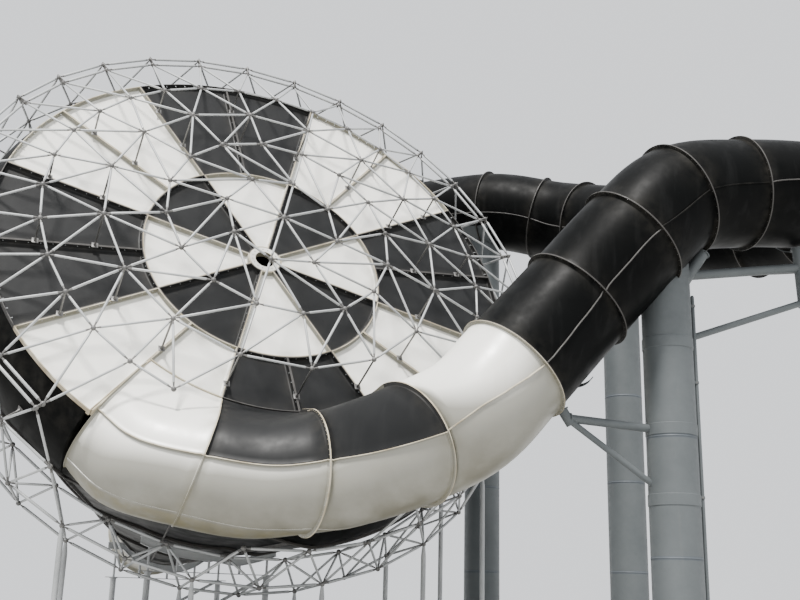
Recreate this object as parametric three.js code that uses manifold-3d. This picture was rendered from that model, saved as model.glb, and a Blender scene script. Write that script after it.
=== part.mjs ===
// Giant tilted bowl water slide: a roofed fibreglass bowl in a tubular space frame,
// fed along its bottom rim by an enclosed raft tube that stands on steel columns.
// Millimetres, +Z up. The origin is on the ground below the centre of the roof disc,
// and the disc looks towards -Y and up.
import * as THREE from 'three';
import { ConvexHull } from 'three/addons/math/ConvexHull.js';
import Module from 'manifold-3d';

const wasm = await Module();
wasm.setup();

// Driving dimensions
const RIM = 9000;             // radius of the space frame's rim ring
const DISC_Z = 11780;         // height of the disc centre
const TILT = 25.74;           // elevation of the disc's outward normal, degrees
const TUBE = 1530;            // outer radius of the raft tube
const SKIN = 70;              // thickness of the moulded shells, with their ribs smeared in
const FLANGE = 110;           // height of the bolted ring flanges
const LIP = 60;               // thickness of one flange
const RIB = 150;              // height of the upstanding panel flanges
const SEAM = 6;               // the tube's half shells meet this far above its equator, degrees
const PANEL_N = -0.038 * RIM; // front face of the roof panels, along the disc normal
const HUB_R = 0.055 * RIM;
const INNER_R = 0.412 * RIM;  // joint between the inner and the outer roof panels
const VALLEY_R = 0.62 * RIM;  // foot of the roof over the trough
const SEAM_R = 0.885 * RIM;   // joint between the roof panels and the rim wall
const WALL_R = 0.945 * RIM;
const OUTLET = { y: 11000, z: 4520, r: 1600 };
const BAR = 50;               // half width of a frame bar
const REACH = 190;            // a frame node reaches this far along its bars
const COLUMN = 655;
const FIT = 0.4;              // working gap between neighbouring pieces

const rad = THREE.MathUtils.degToRad;
const v3 = (x, y, z) => new THREE.Vector3(x, y, z);
const UP = v3(0, 0, 1);
const NORMAL = v3(0, -Math.cos(rad(TILT)), Math.sin(rad(TILT)));
const RISE = v3(0, Math.sin(rad(TILT)), Math.cos(rad(TILT)));

const WHITE = { color: '#e6e2d6', roughness: 0.35, metalness: 0 };
const BLACK = { color: '#24272c', roughness: 0.25, metalness: 0 };
const STEEL = { color: '#9ca2a5', roughness: 0.5, metalness: 0.8 };

const group = new THREE.Group();
group.name = 'water_slide_tower';

// A point from the disc's own frame: across, up the slope, and out along the normal
const onDisc = (x, y, n) => v3(x, 0, DISC_Z).addScaledVector(RISE, y).addScaledVector(NORMAL, n);
const polar = (r, deg, n) => onDisc(r * Math.cos(rad(deg)), r * Math.sin(rad(deg)), n);

// The roof panels are made lying flat, in this group
const disc = new THREE.Group();
disc.name = 'roof_disc';
disc.position.set(0, 0, DISC_Z);
disc.rotation.x = rad(90 - TILT);
disc.updateMatrixWorld();
group.add(disc);
const toDisc = disc.matrixWorld.clone().invert();

// A point on the flat disc at radius r, set off sideways from the radial line at deg
const besides = (r, deg, off, n) => v3(
  r * Math.cos(rad(deg)) - off * Math.sin(rad(deg)), r * Math.sin(rad(deg)) + off * Math.cos(rad(deg)), n);

function closedGeometry(points, triangles) {
  let volume = 0;
  for (const [a, b, c] of triangles) {
    volume += points[a].dot(v3().crossVectors(points[b], points[c]));
  }
  const index = triangles.flatMap(([a, b, c]) => (volume < 0 ? [a, c, b] : [a, b, c]));
  const geometry = new THREE.BufferGeometry();
  geometry.setAttribute('position', new THREE.Float32BufferAttribute(points.flatMap((p) => p.toArray()), 3));
  geometry.setIndex(index);
  return geometry;
}

// Two skins of rows of points, closed along their edges. With wrap the rows run round.
function shell(outer, inner, wrap) {
  const points = [...outer.flat(), ...inner.flat()];
  const n = outer[0].length;
  const base = outer.length * n;
  const last = (outer.length - 1) * n;
  const lastIn = base + (inner.length - 1) * n;
  const cells = wrap ? n : n - 1;
  const triangles = [];
  const quad = (a, b, c, d) => triangles.push([a, b, c], [a, c, d]);
  for (let j = 0; j < cells; j++) {
    const k = (j + 1) % n;
    for (let i = 0; i < outer.length - 1; i++) {
      quad(i * n + j, i * n + k, (i + 1) * n + k, (i + 1) * n + j);
    }
    for (let i = 0; i < inner.length - 1; i++) {
      quad(base + i * n + j, base + (i + 1) * n + j, base + (i + 1) * n + k, base + i * n + k);
    }
    quad(j, base + j, base + k, k);
    quad(last + j, last + k, lastIn + k, lastIn + j);
  }
  if (!wrap) {
    for (let i = 0; i < outer.length - 1; i++) {
      quad(i * n, (i + 1) * n, base + (i + 1) * n, base + i * n);
      const e = n - 1;
      quad((i + 1) * n + e, i * n + e, base + i * n + e, base + (i + 1) * n + e);
    }
  }
  return closedGeometry(points, triangles);
}

// Rings of points filled solid, with flat ends
function filled(rings) {
  const n = rings[0].length;
  const points = rings.flat();
  const triangles = [];
  for (let j = 0; j < n; j++) {
    const k = (j + 1) % n;
    for (let i = 0; i < rings.length - 1; i++) {
      triangles.push([i * n + j, i * n + k, (i + 1) * n + k]);
      triangles.push([i * n + j, (i + 1) * n + k, (i + 1) * n + j]);
    }
  }
  const last = (rings.length - 1) * n;
  for (let j = 1; j < n - 1; j++) {
    triangles.push([0, j + 1, j], [last, last + j, last + j + 1]);
  }
  return closedGeometry(points, triangles);
}

// A straight bar between two points, with a regular cross-section
function bar(a, b, r, sides = 3, spin = 0) {
  const along = b.clone().sub(a).normalize();
  const side = v3().crossVectors(along, Math.abs(along.z) > 0.9 ? v3(1, 0, 0) : UP).normalize();
  const other = v3().crossVectors(along, side);
  const ring = (p) => Array.from({ length: sides }, (_, i) => {
    const t = spin + (2 * Math.PI * i) / sides;
    return p.clone().addScaledVector(side, r * Math.cos(t)).addScaledVector(other, r * Math.sin(t));
  });
  return filled([ring(a), ring(b)]);
}

function block(cx, cy, cz, w, d, h, turn = 0) {
  const geometry = new THREE.BoxGeometry(w, d, h);
  geometry.rotateZ(rad(turn));
  geometry.translate(cx, cy, cz);
  return geometry;
}

// Booleans
function toManifold(geometry) {
  const merged = new Map();
  const xyz = [];
  const position = geometry.getAttribute('position');
  const source = geometry.index ? [...geometry.index.array] : [...Array(position.count).keys()];
  const tris = source.map((i) => {
    const p = [position.getX(i), position.getY(i), position.getZ(i)];
    const key = p.map((c) => Math.round(c * 1000)).join();
    if (!merged.has(key)) {
      merged.set(key, xyz.length / 3);
      xyz.push(...p);
    }
    return merged.get(key);
  });
  return new wasm.Manifold(new wasm.Mesh({
    numProp: 3, vertProperties: new Float32Array(xyz), triVerts: new Uint32Array(tris) }));
}

function toGeometry(manifold) {
  const mesh = manifold.getMesh();
  const geometry = new THREE.BufferGeometry();
  geometry.setAttribute('position', new THREE.BufferAttribute(new Float32Array(mesh.vertProperties), 3));
  geometry.setIndex([...mesh.triVerts]);
  return geometry;
}

function union(geometries) {
  let list = geometries.map((g) => (g.isBufferGeometry ? toManifold(g) : g));
  while (list.length > 1) {
    const next = [];
    for (let i = 0; i < list.length; i += 2) {
      next.push(i + 1 < list.length ? list[i].add(list[i + 1]) : list[i]);
    }
    list = next;
  }
  return list[0];
}

const less = (whole, cutters) => cutters.reduce((m, c) => m.subtract(toManifold(c)), whole);

function add(name, shape, look, home = group) {
  const geometry = shape.isBufferGeometry ? shape : toGeometry(shape);
  geometry.computeBoundingBox();
  const centre = geometry.boundingBox.getCenter(v3()).round();
  geometry.translate(-centre.x, -centre.y, -centre.z);
  geometry.computeVertexNormals();
  const mesh = new THREE.Mesh(geometry, new THREE.MeshStandardMaterial(look));
  mesh.name = name;
  mesh.position.copy(centre);
  home.add(mesh);
}

// The raft tube's centre line, from the open start flange to the end of the trough
const discPoint = (r, deg, n) => polar(r * RIM, deg, n * RIM).toArray();
const LINE = [
  [9000, 8200, 17200], [11100, 5600, 17020], [12900, 3900, 16380], [14150, 1400, 15550],
  [15000, -200, 15050], [15750, -1900, 14600], [16350, -3700, 14200], [16550, -5500, 13850],
  [16000, -7150, 13600], [14700, -8200, 13420], [13100, -8200, 13280], [11430, -7790, 13150],
  [9360, -7580, 12630], [7960, -7410, 11310], [6520, -6830, 9560], [4670, -6690, 7500],
  [3460, -6560, 6210], [2200, -5840, 5480], [1120, -4830, 5040], [280, -3860, 4850],
  [-830, -3240, 4690], [-2300, -2600, 4900], [-3750, -1750, 5330], discPoint(0.78, 231, -0.19),
].map((p) => v3(...p));
const path = new THREE.CatmullRomCurve3(LINE, false, 'centripetal');
const at = (i) => path.getPoint(i / (LINE.length - 1));
const JOINTS = [0, 0.9, 1.7, 2.4, 3.2, 4.5, 5.8, 7.1, 8.4, 9.7, 11, 12, 13, 14, 15, 17];
const SIDES = 12;
const SPAN = 1500;            // about the distance between two points of the line

// From the last joint on, the rings stand square to the disc, and turn with these headings
const HEADINGS = [27.5, 2, -19.3, -39];

function headingAt(i) {
  const k = THREE.MathUtils.clamp((i - 17) / 2, 0, HEADINGS.length - 1);
  const low = Math.min(Math.floor(k), HEADINGS.length - 2);
  return rad(THREE.MathUtils.lerp(HEADINGS[low], HEADINGS[low + 1], k - low));
}

function station(i) {
  const t = path.getTangent(i / (LINE.length - 1));
  if (i > 15) {
    const turn = headingAt(i);
    const level = v3(-Math.cos(turn), 0, 0).addScaledVector(RISE, -Math.sin(turn));
    t.lerp(level, Math.min(1, (i - 15) / 2)).normalize();
  }
  const front = v3().crossVectors(UP, t).normalize();
  return { i, p: at(i), t, front, up: v3().crossVectors(t, front).normalize() };
}

const around = (s, r, deg) => s.p.clone()
  .addScaledVector(s.front, r * Math.cos(rad(deg))).addScaledVector(s.up, r * Math.sin(rad(deg)));
const shift = (s, d) => ({ ...s, i: s.i + d / SPAN, p: s.p.clone().addScaledVector(s.t, d) });
const ringAt = (s, r) => Array.from({ length: SIDES }, (_, j) => around(s, r, SEAM + (360 * j) / SIDES));

// Stations between two joints, half a turn of the spline apart where it bends
function stationsBetween(a, b) {
  const steps = Math.max(1, Math.round((b - a) * 1.5));
  return Array.from({ length: steps - 1 }, (_, k) => station(a + ((b - a) * (k + 1)) / steps));
}

function tubeRings(a, b, grow = 0) {
  const s0 = shift(station(a), FIT / 2 - grow);
  const s1 = shift(station(b), grow - FIT / 2);
  const mid = stationsBetween(a, b).map((s) => ringAt(s, TUBE + grow));
  const lip = LIP + grow;
  return [ringAt(s0, TUBE + FLANGE + grow), ringAt(shift(s0, lip), TUBE + FLANGE + grow),
    ringAt(shift(s0, lip + 4), TUBE + grow), ...mid, ringAt(shift(s1, -lip - 4), TUBE + grow),
    ringAt(shift(s1, -lip), TUBE + FLANGE + grow), ringAt(s1, TUBE + FLANGE + grow)];
}

function tubeSection(a, b) {
  const s0 = shift(station(a), FIT / 2);
  const s1 = shift(station(b), -FIT / 2);
  const bore = [s0, ...stationsBetween(a, b), s1].map((s) => ringAt(s, TUBE - SKIN));
  return shell(tubeRings(a, b), bore, true);
}

// The tube sections between two joints, filled solid, to cut what carries them
const filledTube = (from, to) => JOINTS.slice(1).map((b, k) => [JOINTS[k], b])
  .filter(([a, b]) => a >= from && b <= to).map(([a, b]) => filled(tubeRings(a, b, FIT)));

// Roof panels. A panel is a plate with flanges standing on its edges.
const arcSteps = (a0, a1) => Math.max(1, Math.round((a1 - a0) / 11.25));

function panelRow(r, a0, a1, off, n) {
  const k = arcSteps(a0, a1);
  return Array.from({ length: k + 1 }, (_, j) => {
    if (j === 0) return besides(r, a0, off, n);
    return j === k ? besides(r, a1, -off, n) : besides(r, a0 + ((a1 - a0) * j) / k, 0, n);
  });
}

function plate(a0, a1, r0, r1, top = PANEL_N, thick = SKIN, off = FIT / 2) {
  const rows = (n) => [r0 + off, r1 - off].map((r) => panelRow(r, a0, a1, off, n));
  return shell(rows(top), rows(top - thick), false);
}

const arcRib = (a0, a1, r0, r1, high = RIB) => plate(a0, a1, r0, r1, PANEL_N + high, high + SKIN / 2);

function lineRib(deg, s0, s1, r0, r1) {
  const low = PANEL_N - SKIN / 2;
  const rows = (n) => [r0 + FIT / 2, r1 - 8].map((r) => [besides(r, deg, s0, n), besides(r, deg, s1, n)]);
  return shell(rows(PANEL_N + RIB), rows(low), false);
}

function roofPanel(a0, a1, r0, r1) {
  const mid = (a0 + a1) / 2;
  const parts = [plate(a0, a1, r0, r1), arcRib(a0, a1, r0, r0 + LIP), arcRib(a0, a1, r1 - LIP, r1),
    lineRib(a0, FIT / 2, LIP, r0, r1), lineRib(a1, -LIP, -FIT / 2, r0, r1)];
  if (r0 >= INNER_R) parts.push(lineRib(mid, -LIP, LIP, r0, r1));
  return parts;
}

const START = 28.125;
const OUTER = ['outer_tr', 'outer_t', 'outer_tl', 'outer_l', 'outer_bl', 'outer_b', 'outer_br', 'outer_r'];

// The roof over the trough and the trough itself meet along the front seam, at shared stations
const TROUGH = [17, 19, 21, 23];
const troughStations = (a, b) => Array.from({ length: 4 }, (_, k) => {
  const s = station(a + ((b - a) * k) / 3);
  if (k === 0) return shift(s, FIT / 2);
  return k === 3 ? shift(s, -FIT / 2) : s;
});

function angleOf(p) {
  const d = p.clone().sub(v3(0, 0, DISC_Z));
  return THREE.MathUtils.euclideanModulo(Math.atan2(d.dot(RISE), d.x) * 180 / Math.PI, 360);
}

// The roof's joints meet the valley at the corners of the panels
const footAngle = (i) => START + 6 * 45 - 0.1 - 11.25 * (i - 17);

// An arc on the tube from the seam up, then a tangent down to the valley on the disc
function roofSkin(a, b, valley, ahead = 0) {
  const outer = [];
  const inner = [];
  const stations = [];
  for (let i = a; i < b; i += 2) stations.push(...troughStations(i, i + 2).slice(i > a ? 1 : 0));
  if (ahead) stations.push(shift(stations[stations.length - 1], ahead));
  for (const s of stations) {
    const foot = polar(valley, footAngle(s.i), PANEL_N + 0.7 * RIB);
    const f = foot.clone().sub(s.p);
    const u = f.dot(s.up);
    const w = f.dot(s.front);
    const touch = (Math.atan2(u, w) - Math.acos(Math.min(1, TUBE / Math.hypot(u, w)))) * 180 / Math.PI;
    const from = SEAM + 0.15;
    const degs = [0, 0.25, 0.5, 0.75, 1].map((q) => from + q * (touch - from));
    const inFoot = foot.clone().addScaledVector(NORMAL, -1.3 * SKIN);
    outer.push([...degs.map((g) => around(s, TUBE, g)), foot]);
    inner.push([...degs.map((g) => around(s, TUBE - SKIN, g)), inFoot]);
  }
  return shell(outer, inner, false);
}

// The trough is the lower part of the tube, and opens into the bowl behind
const troughEdge = (i) => -150 + (75 * (i - 17)) / 6;

function troughPiece(a, b) {
  const lip = (LIP / TUBE) * 180 / Math.PI;
  const degsAt = (i) => {
    const start = SEAM - lip - 0.2;
    const rest = Array.from({ length: 7 }, (_, k) => start + ((troughEdge(i) - start) * k) / 6);
    return [SEAM, SEAM - lip, ...rest];
  };
  const stations = troughStations(a, b);
  const row = (k, r) => degsAt(a + ((b - a) * k) / 3)
    .map((g, j) => around(stations[k], j < 2 ? TUBE + FLANGE : r, g));
  const mix = (p, q, d) => p.map((x, j) => x.clone().lerp(q[j], d / x.distanceTo(q[j])));
  const plain = [0, 1, 2, 3].map((k) => row(k, TUBE));
  const proud = [0, 1, 2, 3].map((k) => row(k, TUBE + FLANGE));
  const outer = [proud[0], mix(proud[0], proud[1], LIP), mix(plain[0], plain[1], LIP + 4),
    plain[1], plain[2],
    mix(plain[3], plain[2], LIP + 4), mix(proud[3], proud[2], LIP), proud[3]];
  const bore = [0, 1, 2, 3].map((k) => degsAt(a + ((b - a) * k) / 3)
    .map((g) => around(stations[k], TUBE - SKIN, g)));
  const inner = [bore[0], mix(bore[0], bore[1], LIP), mix(bore[0], bore[1], LIP + 4), bore[1], bore[2],
    mix(bore[3], bore[2], LIP + 4), mix(bore[3], bore[2], LIP), bore[3]];
  return shell(outer, inner, false);
}

// Bowl: a rim wall, or the trough's lower edge, then a leaning funnel down to the outlet.
// A column is its angle, and the place along the trough where it starts from the trough.
const openColumns = Array.from({ length: 9 }, (_, k) => 17 + (2 * (k + 1)) / 3)
  .map((i) => [i === 23 ? 230.75 : angleOf(at(i)), i]).reverse();
const bowlColumns = [];
for (let k = 0; k < 32; k++) {
  const deg = 5.625 + 11.25 * k;
  if (deg > 240 && deg < 241.9) bowlColumns.push(...openColumns, [openColumns[8][0] + 0.1, 0]);
  if (deg < 231 || deg > openColumns[8][0] + 1) bowlColumns.push([deg, 0]);
}

function bowlRings(inset) {
  const columns = bowlColumns.map(([deg, i]) => {
    const wall = (n, dn = 0) => polar(WALL_R - inset, deg, n * RIM + dn * inset);
    if (!i) {
      const mid = 11.25 * Math.floor((deg - 5.6) / 11.25) + 11.25;
      const chord = Math.abs(deg - mid) > 5.6 ? 1 : Math.cos(rad(5.625)) / Math.cos(rad(deg - mid));
      return [polar((SEAM_R + FIT) * chord, deg, PANEL_N - inset),
        polar(0.922 * RIM - 0.8 * inset, deg, -0.085 * RIM - 0.6 * inset), wall(-0.15), wall(-0.27, 0.3)];
    }
    const s = station(i);
    const g = troughEdge(i) - 0.15;
    const edge = around(s, TUBE - inset, g);
    const n = around(s, TUBE, g).sub(v3(0, 0, DISC_Z)).dot(NORMAL) / RIM;
    const narrow = Math.max(0, Math.min(1, (23 - i) / 1.4, (i - openColumns[8][1]) / 1.4));
    return [edge, around(s, TUBE - inset, g - 1.2), wall(Math.min(-0.15, n - 0.035)),
      polar(WALL_R - 0.045 * RIM * narrow - inset, deg, -0.27 * RIM + 0.3 * inset)];
  });
  const mouth = bowlColumns.map(([deg]) => v3((OUTLET.r - inset) * Math.cos(rad(deg)), OUTLET.y,
    OUTLET.z + (OUTLET.r - inset) * Math.sin(rad(deg))));
  return [0, 1, 2, 3].map((k) => columns.map((c) => c[k])).concat([mouth]);
}

// Frame nodes: [name, count, first angle, radius, height], all in rim radii
const RINGS = {
  A: [32, 0, 1, 0], P: [32, 0, 0.975, -0.004], B: [32, 5.625, 0.745, 0.08], C: [16, 5.625, 0.565, 0.124],
  D: [16, 5.625, 0.379, 0.156], E: [8, 28.125, 0.191, 0.172], H: [32, 5.625, 1.01, -0.169],
  G: [32, 0, 1.036, -0.35], I: [32, 5.625, 0.941, -0.356], K: [32, 0, 0.96, -0.552],
};
const nodeAt = (ring, k) => {
  const [n, first, r, h] = RINGS[ring];
  return polar(r * RIM, first + (360 * (((k % n) + n) % n)) / n, h * RIM);
};

const keyOf = (p) => p.toArray().map(Math.round).join();
const tubeSamples = Array.from({ length: 140 }, (_, k) => at(10 + (13 * k) / 139));
const clearOfTube = (a, b, room) => {
  const line = new THREE.Line3(a, b);
  const q = v3();
  return tubeSamples.every((p) => line.closestPointToPoint(p, true, q).distanceTo(p) > TUBE + room);
};

// Three corners round the end of a bar that leaves p along dir
function corners(p, dir, d, r) {
  const side = v3().crossVectors(dir, Math.abs(dir.dot(NORMAL)) > 0.95 ? RISE : NORMAL).normalize();
  const other = v3().crossVectors(dir, side);
  return [0, 1, 2].map((i) => p.clone().addScaledVector(dir, d)
    .addScaledVector(side, r * Math.cos((2 * Math.PI * i) / 3))
    .addScaledVector(other, r * Math.sin((2 * Math.PI * i) / 3)));
}

// The faces of a hull round some points, as triples of their places in the list
function hullFaces(points) {
  const place = new Map(points.map((p, i) => [p, i]));
  return new ConvexHull().setFromPoints(points).faces.map((face) => {
    const triple = [];
    let edge = face.edge;
    do {
      triple.push(place.get(edge.head().point));
      edge = edge.next;
    } while (edge !== face.edge);
    return triple;
  });
}

// The bars that clear the tube, without those at nodes that would be left with one bar or two.
// Thin posts end away from the nodes, so that only their first end counts.
function firmBars(bars) {
  let kept = bars.filter(([a, b]) => clearOfTube(a, b, 150));
  for (let round = 0; round < 3; round++) {
    const count = new Map();
    for (const [a, b] of kept) {
      for (const p of [keyOf(a), keyOf(b)]) count.set(p, (count.get(p) || 0) + 1);
    }
    kept = kept.filter(([a, b, thin]) => count.get(keyOf(a)) > 2 && (thin || count.get(keyOf(b)) > 2));
  }
  return kept;
}

// A frame of three-sided bars [from, to, half width] that grow out of faceted nodes.
// Pads [node, towards, distance] give a node a flat face.
function frameOf(bars, pads = []) {
  const nodes = new Map();
  const nodeFor = (p) => {
    const key = keyOf(p);
    if (!nodes.has(key)) nodes.set(key, { p, ports: [] });
    return nodes.get(key);
  };
  for (const [a, b, r = BAR] of firmBars(bars)) {
    const dir = b.clone().sub(a).normalize();
    const link = { r, near: null, far: null };
    nodeFor(a).ports.push({ dir, r, link, end: 'near', flip: false });
    nodeFor(b).ports.push({ dir: dir.clone().negate(), r, link, end: 'far', flip: true });
  }
  for (const [p, dir, d] of pads) {
    if (nodes.has(keyOf(p))) nodes.get(keyOf(p)).ports.push({ dir, r: BAR, pad: d });
  }
  const points = [];
  const triangles = [];
  for (const { p, ports } of nodes.values()) {
    const build = (reach) => ports.map((port) => {
      const { dir, r, pad, flip } = port;
      if (pad) return corners(p, dir, pad, r);
      const along = flip ? dir.clone().negate() : dir;
      return corners(p, along, flip ? -reach : reach, r);
    });
    if (ports.length === 1) {
      const ring = build(0)[0];
      ports[0].link[ports[0].end] = points.length;
      points.push(...ring);
      const n = points.length;
      triangles.push(ports[0].flip ? [n - 3, n - 2, n - 1] : [n - 3, n - 1, n - 2]);
      continue;
    }
    let reach = REACH;
    let faces;
    const portOf = (i) => Math.floor(i / 3);
    const isPort = (f) => portOf(f[0]) === portOf(f[1]) && portOf(f[0]) === portOf(f[2]);
    for (;;) {
      const rings = build(reach);
      faces = hullFaces(rings.flat());
      const open = faces.filter((f) => isPort(f) && !ports[portOf(f[0])].pad);
      if (open.length === ports.filter((q) => !q.pad).length) {
        rings.forEach((ring, i) => {
          if (!ports[i].pad) ports[i].link[ports[i].end] = points.length + 3 * i;
        });
        const base = points.length;
        points.push(...rings.flat());
        triangles.push(...faces.filter((f) => !open.includes(f)).map((f) => f.map((i) => base + i)));
        break;
      }
      reach += 15;
      if (reach > 700) throw new Error('a frame node does not close');
    }
  }
  for (const { ports } of nodes.values()) {
    for (const { link, end } of ports) {
      if (end !== 'near') continue;
      for (let i = 0; i < 3; i++) {
        const k = (i + 1) % 3;
        triangles.push([link.near + i, link.near + k, link.far + k]);
        triangles.push([link.near + i, link.far + k, link.far + i]);
      }
    }
  }
  return closedGeometry(points, triangles);
}

const domeBars = [];
for (let k = 0; k < 32; k++) {
  domeBars.push([nodeAt('P', k), nodeAt('B', k)], [nodeAt('P', k + 1), nodeAt('B', k)]);
  domeBars.push([nodeAt('B', k), nodeAt('B', k + 1)], [nodeAt('P', k), nodeAt('P', k + 1)]);
}
for (let k = 0; k < 16; k++) {
  for (const j of [-1, 0, 1]) domeBars.push([nodeAt('C', k), nodeAt('B', 2 * k + j)]);
  domeBars.push([nodeAt('C', k), nodeAt('C', k + 1)], [nodeAt('C', k), nodeAt('D', k)]);
  domeBars.push([nodeAt('D', k), nodeAt('C', k - 1)], [nodeAt('D', k), nodeAt('D', k + 1)]);
}
for (let k = 0; k < 8; k++) {
  for (const j of [0, 1, 2]) domeBars.push([nodeAt('E', k), nodeAt('D', 2 * k + 1 + j)]);
  domeBars.push([nodeAt('E', k), nodeAt('E', k + 1)], [nodeAt('E', k), polar(0, 0, 0.185 * RIM)]);
}

// Posts from the dome down to the panel flanges
const postTo = (ring, k) => {
  const [n, first, r] = RINGS[ring];
  const top = nodeAt(ring, k);
  const foot = polar(r * RIM, first + (360 * k) / n, PANEL_N + RIB + FIT);
  domeBars.push([top, foot, 40]);
};
for (let k = 0; k < 16; k++) postTo('C', k);
for (let k = 0; k < 32; k += 2) {
  const deg = 5.625 + 11.25 * k;
  if (deg < 225 || deg > 300) postTo('B', k);
}

// The dome leaves these nodes out where the tube comes in
const leftOut = [25, 26, 27].map((k) => keyOf(nodeAt('B', k)));
const openDome = domeBars.filter(([a, b]) => !leftOut.includes(keyOf(a)) && !leftOut.includes(keyOf(b)));

// The dome's outer ring and the drum's rim ring meet on small pads
const pads = (ring, other) => Array.from({ length: 32 }, (_, k) => {
  const d = nodeAt(other, k).sub(nodeAt(ring, k));
  return [nodeAt(ring, k), d.clone().normalize(), d.length() / 2 - FIT / 2];
});
const dome = frameOf(openDome, pads('P', 'A'));

const drumBars = [];
for (let k = 0; k < 32; k++) {
  drumBars.push([nodeAt('A', k), nodeAt('A', k + 1)], [nodeAt('H', k), nodeAt('H', k + 1)]);
  drumBars.push([nodeAt('G', k), nodeAt('G', k + 1)], [nodeAt('A', k), nodeAt('H', k)]);
  drumBars.push([nodeAt('A', k + 1), nodeAt('H', k)], [nodeAt('G', k), nodeAt('H', k)]);
  drumBars.push([nodeAt('G', k + 1), nodeAt('H', k)], [nodeAt('I', k), nodeAt('I', k + 1)]);
  drumBars.push([nodeAt('I', k), nodeAt('H', k)], [nodeAt('I', k), nodeAt('G', k)]);
  drumBars.push([nodeAt('I', k), nodeAt('G', k + 1)], [nodeAt('K', k), nodeAt('K', k + 1)]);
  drumBars.push([nodeAt('K', k), nodeAt('G', k)], [nodeAt('K', k), nodeAt('I', k)]);
  drumBars.push([nodeAt('K', k), nodeAt('I', k - 1)]);
}
for (let k = 1; k < 32; k += 2) {
  const deg = 5.625 + 11.25 * k;
  if (deg < 225 || deg > 295) drumBars.push([nodeAt('H', k), polar(WALL_R + FIT, deg, -0.169 * RIM), 40]);
}
const drum = toManifold(frameOf(drumBars, pads('A', 'P')));

// The drum is bolted up from segments that are joined in the middle of their bays
const SEGMENTS = 8;
const LEGS = [19, 21, 23, 25, 27, 29];
function drumSegment(k) {
  const a0 = 5.625 + 2.8 + 45 * k;
  const edge = (deg, off, n) => polar(1.4 * RIM, deg, n)
    .add(polar(off, deg + 90, n)).sub(polar(0, 0, n));
  const tip = FIT / 2 / Math.sin(rad(22.5));
  const ring = (n) => [polar(tip, a0 + 22.5, n), edge(a0, FIT / 2, n), edge(a0 + 15, 0, n),
    edge(a0 + 30, 0, n), edge(a0 + 45, -FIT / 2, n)];
  const piece = drum.intersect(toManifold(filled([ring(-0.6 * RIM), ring(0.3 * RIM)])));
  const legs = LEGS.filter((j) => j * 11.25 > a0 && j * 11.25 < a0 + 45)
    .flatMap((j) => [nodeAt('G', j), nodeAt('K', j)])
    .flatMap((top) => [bar(v3(top.x, top.y, 20), top, 80, 6), block(top.x, top.y, 15, 420, 420, 30)]);
  return union([piece, ...legs]);
}

// Put the pieces together
for (let k = 0; k < 8; k++) {
  const a0 = START + 45 * k;
  add(`roof_inner_${k + 1}`, union(roofPanel(a0, a0 + 45, HUB_R, INNER_R)), k % 2 ? WHITE : BLACK, disc);
}
const hubOuter = HUB_R * Math.cos(rad(5.625)) - FIT;
const hubRows = (n) => [0.6 * HUB_R, hubOuter].map((r) => Array.from({ length: 16 }, (_, j) => (
  besides(r, START + 5.625 + 22.5 * j, 0, n))));
add('roof_hub_ring', shell(hubRows(PANEL_N + RIB), hubRows(PANEL_N - SKIN), true), WHITE, disc);

for (let k = 0; k < 8; k++) {
  const a0 = START + 45 * k;
  const name = OUTER[k];
  let shape;
  if (name === 'outer_b') {
    const chord = (SEAM_R - FIT / 2) * Math.cos(rad(5.625));
    const corner = filled([PANEL_N, PANEL_N - SKIN].map((n) => [besides(VALLEY_R - 200, a0 + 28.125, 0, n),
      besides(chord, a0 + 28.125, 0, n), besides(SEAM_R - FIT / 2, a0 + 33.75, 0, n),
      besides(VALLEY_R - 200, a0 + 34, 0, n)]));
    shape = union([...roofPanel(a0, a0 + 45, INNER_R, VALLEY_R), corner,
      plate(a0 + 33.75, a0 + 45, VALLEY_R - 200, SEAM_R)]);
  } else if (name === 'outer_bl') {
    const flat = union([...roofPanel(a0, a0 + 45, INNER_R, VALLEY_R),
      plate(a0, a0 + 22.5, VALLEY_R - 200, SEAM_R)]);
    shape = flat.add(toManifold(lineRib(a0 + 22.5, -30, 45, VALLEY_R, SEAM_R)))
      .add(toManifold(roofSkin(21, 23, VALLEY_R - 40, 25).applyMatrix4(toDisc)));
  } else {
    shape = union(roofPanel(a0, a0 + 45, INNER_R, SEAM_R));
  }
  add(`roof_${name}`, shape, k % 2 ? BLACK : WHITE, disc);
}
const valleyPlug = filled([-1000, 1500].map((n) => Array.from({ length: 32 }, (_, k) => (
  polar(VALLEY_R + FIT, START + 11.25 * k, n)))));
add('roof_over_trough', less(toManifold(roofSkin(17, 21, VALLEY_R - 40)), [valleyPlug,
  ...filledTube(15, 17)]), BLACK);
for (let k = 0; k < 3; k++) add(`trough_${k + 1}`, troughPiece(TROUGH[k], TROUGH[k + 1]), WHITE);

add('bowl_funnel', shell(bowlRings(0), bowlRings(SKIN), true), BLACK);

const outletRing = (y, r) => Array.from({ length: SIDES }, (_, j) => {
  const t = (2 * Math.PI * j) / SIDES;
  return v3(r * Math.cos(t), y, OUTLET.z - 0.09 * (y - OUTLET.y) + r * Math.sin(t));
});
const y0 = OUTLET.y + FIT;
add('bowl_outlet', shell(
  [outletRing(y0, 1710), outletRing(y0 + 60, 1710), outletRing(y0 + 64, 1600), outletRing(y0 + 2436, 1600),
    outletRing(y0 + 2440, 1710), outletRing(y0 + 2500, 1710)],
  [outletRing(y0, 1530), outletRing(y0 + 2500, 1530)], true), WHITE);

add('dome_frame', dome, STEEL);
for (let k = 0; k < SEGMENTS; k++) add(`drum_frame_${k + 1}`, drumSegment(k), STEEL);

// The last section is white, like the trough that it runs into
for (let i = 0; i < JOINTS.length - 1; i++) {
  const look = i < JOINTS.length - 2 ? BLACK : WHITE;
  add(`tube_${String(i + 1).padStart(2, '0')}`, tubeSection(JOINTS[i], JOINTS[i + 1]), look);
}

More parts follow.
